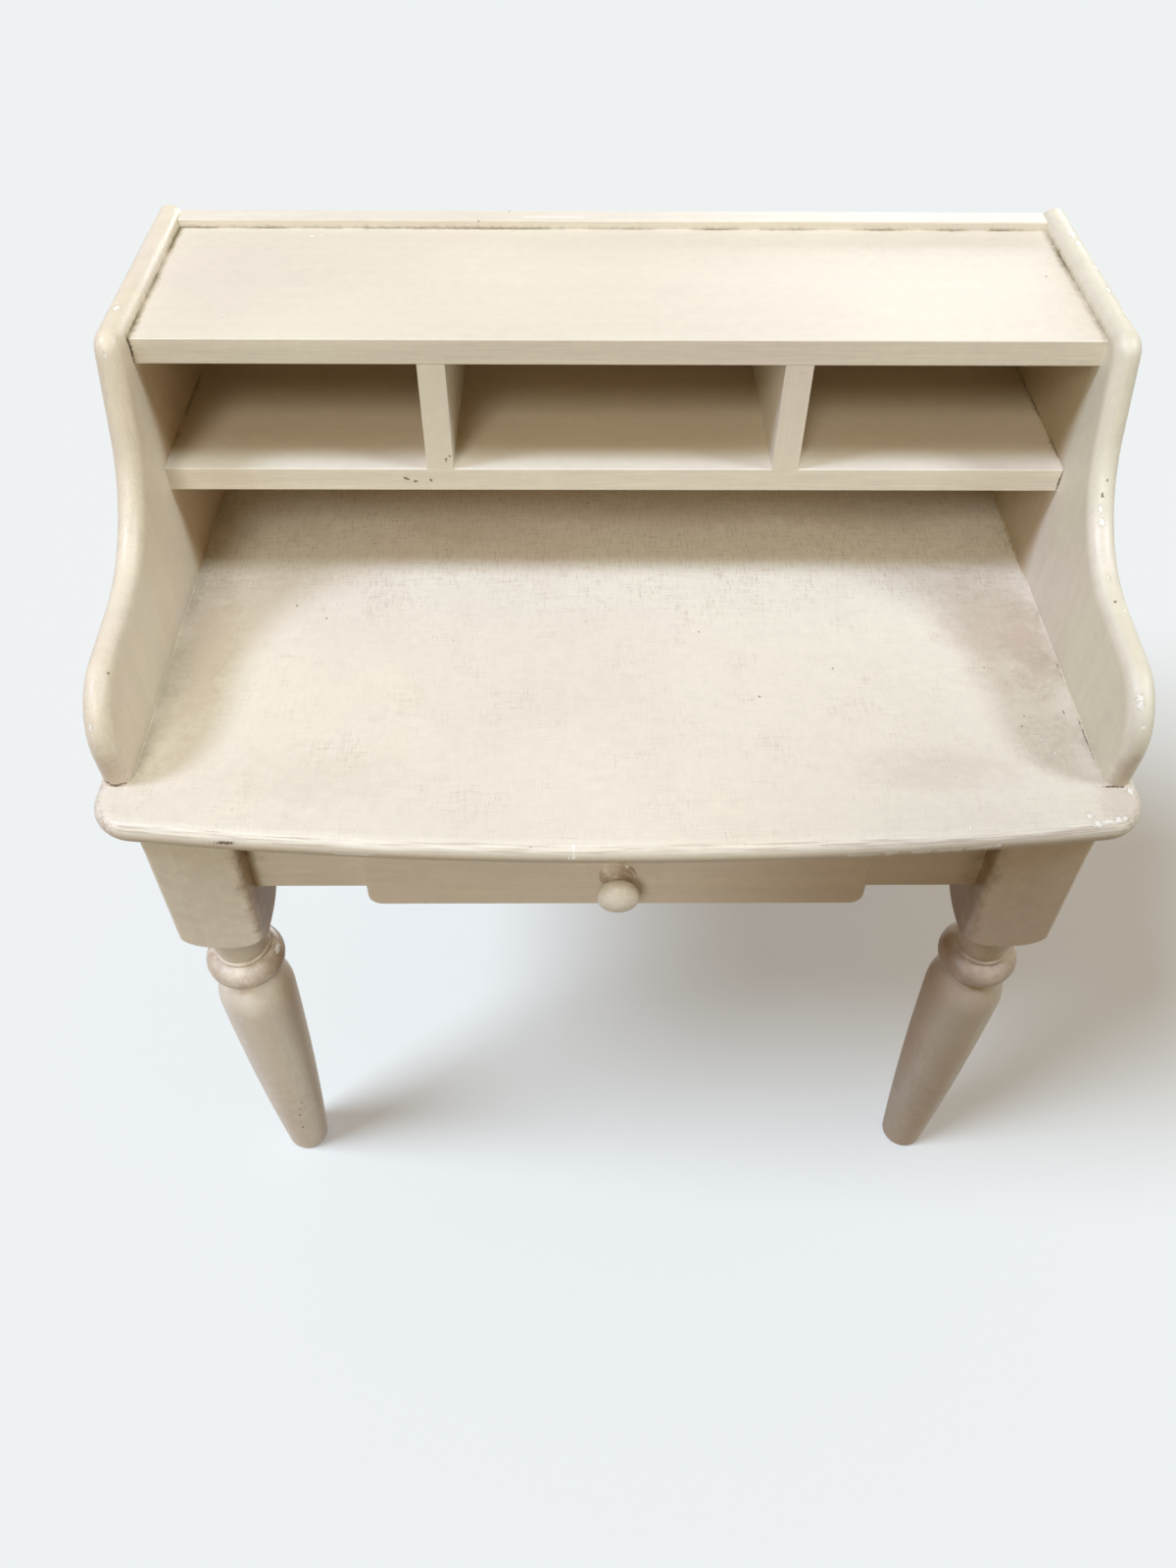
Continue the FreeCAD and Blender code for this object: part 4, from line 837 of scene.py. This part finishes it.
bpy.ops.mesh.primitive_plane_add(size=14, location=(0, 0, 0))
floor = bpy.context.object
floor.name = "studio_floor"
floor_paint = bpy.data.materials.new("studio_floor")
floor_paint.use_nodes = True
tree = floor_paint.node_tree
tree.nodes.remove(tree.nodes["Principled BSDF"])
seen = looked_at(tree)
matt = place(tree, "BsdfDiffuse", {}, {"Color": blend(tree, seen, FLOOR_FELT, FLOOR_SEEN)}).outputs[0]
glow = place(tree, "Emission", {}, {"Color": FLOOR_GLOW}).outputs[0]
both = place(tree, "MixShader", {}, {0: times(tree, seen, GLOW_SHARE), 1: matt, 2: glow}).outputs[0]
tree.links.new(both, tree.nodes["Material Output"].inputs["Surface"])
floor.data.materials.append(floor_paint)
print("floor", [round(v, 1) for v in floor.dimensions])

# %% [markdown]
# Two soft lamps hang left and right above the desk, so each gallery side shades a strip of the top and the
# shelves shade what is behind them. A third comes lower from the front left and reaches into the
# pigeonholes, and a fourth, low behind, shows the back. They are sun lamps, which are equally strong all
# over the floor, and their angle sets how soft the shadows are. The warm world fills the shade. On a level
# surface all of it adds up to about 1, so the cream renders as it is written. The floor has a wider left
# lamp of its own in place of those four, so that a single soft shadow falls to the right.

# %% Lamps
def sun(name, towards, light, softness):
    """A sun lamp; towards points at it, and light is what it gives a level surface, where 1 is full white."""
    towards = Vector(towards).normalized()
    strength = [pi * part / towards.z for part in light]
    lamp = bpy.data.lights.new(name, "SUN")
    lamp.energy, lamp.angle = max(strength), radians(softness)
    lamp.color = [part / max(strength) for part in strength]
    made = bpy.data.objects.new(name, lamp)
    made.rotation_euler = towards.to_track_quat("Z", "Y").to_euler()
    bpy.context.scene.collection.objects.link(made)
    print(name, "strength", round(max(strength), 2))
    return made


def only_floor(lamp, state):
    """INCLUDE keeps the lamp's light for the floor; EXCLUDE keeps it off the floor."""
    linked = bpy.data.collections.new(lamp.name + "_floor")
    linked.objects.link(floor)
    linked.collection_objects[0].light_linking.link_state = state
    lamp.light_linking.receiver_collection = linked


FROM_LEFT, FROM_RIGHT, FROM_FRONT, FROM_BACK = (-0.72, -0.2, 1), (0.8, -0.2, 1), (-0.3, -1.1, 1), (0.3, 1, 0.08)
only_floor(sun("left_lamp", FROM_LEFT, (0.278, 0.322, 0.44), 14), "EXCLUDE")
only_floor(sun("right_lamp", FROM_RIGHT, (0.235, 0.27, 0.305), 14), "EXCLUDE")
floor_lamp = sun("floor_lamp", FROM_LEFT, (0.71, 0.86, 0.95), 26)
only_floor(floor_lamp, "INCLUDE")
only_floor(sun("front_lamp", FROM_FRONT, (0.235, 0.24, 0.225), 16), "EXCLUDE")
only_floor(sun("back_lamp", FROM_BACK, (0.034, 0.036, 0.037), 20), "EXCLUDE")

# %% [markdown]
# A flag is a dark card that stands between a lamp and what should stay dim, and a scrim is a card of gauze that
# lets part of the light through. The flag keeps the front lamp off the right half of the drawer and the
# scrim softens the right lamp on the legs. They throw a shadow but aren't seen themselves, and the
# floor's lamp passes them by.

# %% Flag and scrim
passed_by = bpy.data.collections.new("flags")
floor_lamp.light_linking.blocker_collection = passed_by


def card(name, location, turn, scale, holes):
    """A card that only lamps notice; holes is the share of light that passes."""
    cloth = bpy.data.materials.new(name)
    cloth.use_nodes = True
    surface = cloth.node_tree.nodes["Principled BSDF"]
    surface.inputs["Base Color"].default_value = (0.03, 0.03, 0.03, 1)
    surface.inputs["Alpha"].default_value = 1 - holes
    bpy.ops.mesh.primitive_plane_add(size=1, location=location, rotation=turn)
    made = bpy.context.object
    made.name = name
    made.scale = (*scale, 1)
    made.visible_camera = made.visible_glossy = made.visible_transmission = made.visible_diffuse = False
    made.data.materials.append(cloth)
    passed_by.objects.link(made)
    passed_by.collection_objects[-1].light_linking.link_state = "EXCLUDE"
    print(name, "lets", holes, "of the light through")


card("flag", (0.26, -1.25, 1.27), (radians(90), 0, 0), (0.66, 0.85), 0.0)
card("scrim", (0.75, -0.3, 0.60), (0, radians(90), 0), (0.62, 1.2), 0.5)

# %% [markdown]
# The world is the light that comes from all round. It is warm and weak from below and stronger from above,
# and the camera sees a plain pale room in its place.

# %% World
ROOM_SEEN, FROM_BELOW, FROM_ABOVE = (0.86, 0.89, 0.91), (0.10, 0.061, 0.015), (0.42, 0.29, 0.097)
room = bpy.data.worlds.new("room")
room.use_nodes = True
tree = room.node_tree
upward = parts(tree, place(tree, "TexCoord").outputs["Generated"])[2]
warm = blend(tree, number(tree, "MAXIMUM", upward, 0.0), FROM_BELOW, FROM_ABOVE)
tree.links.new(blend(tree, looked_at(tree), warm, ROOM_SEEN), tree.nodes["Background"].inputs["Color"])
bpy.context.scene.world = room
print("world", room.name)
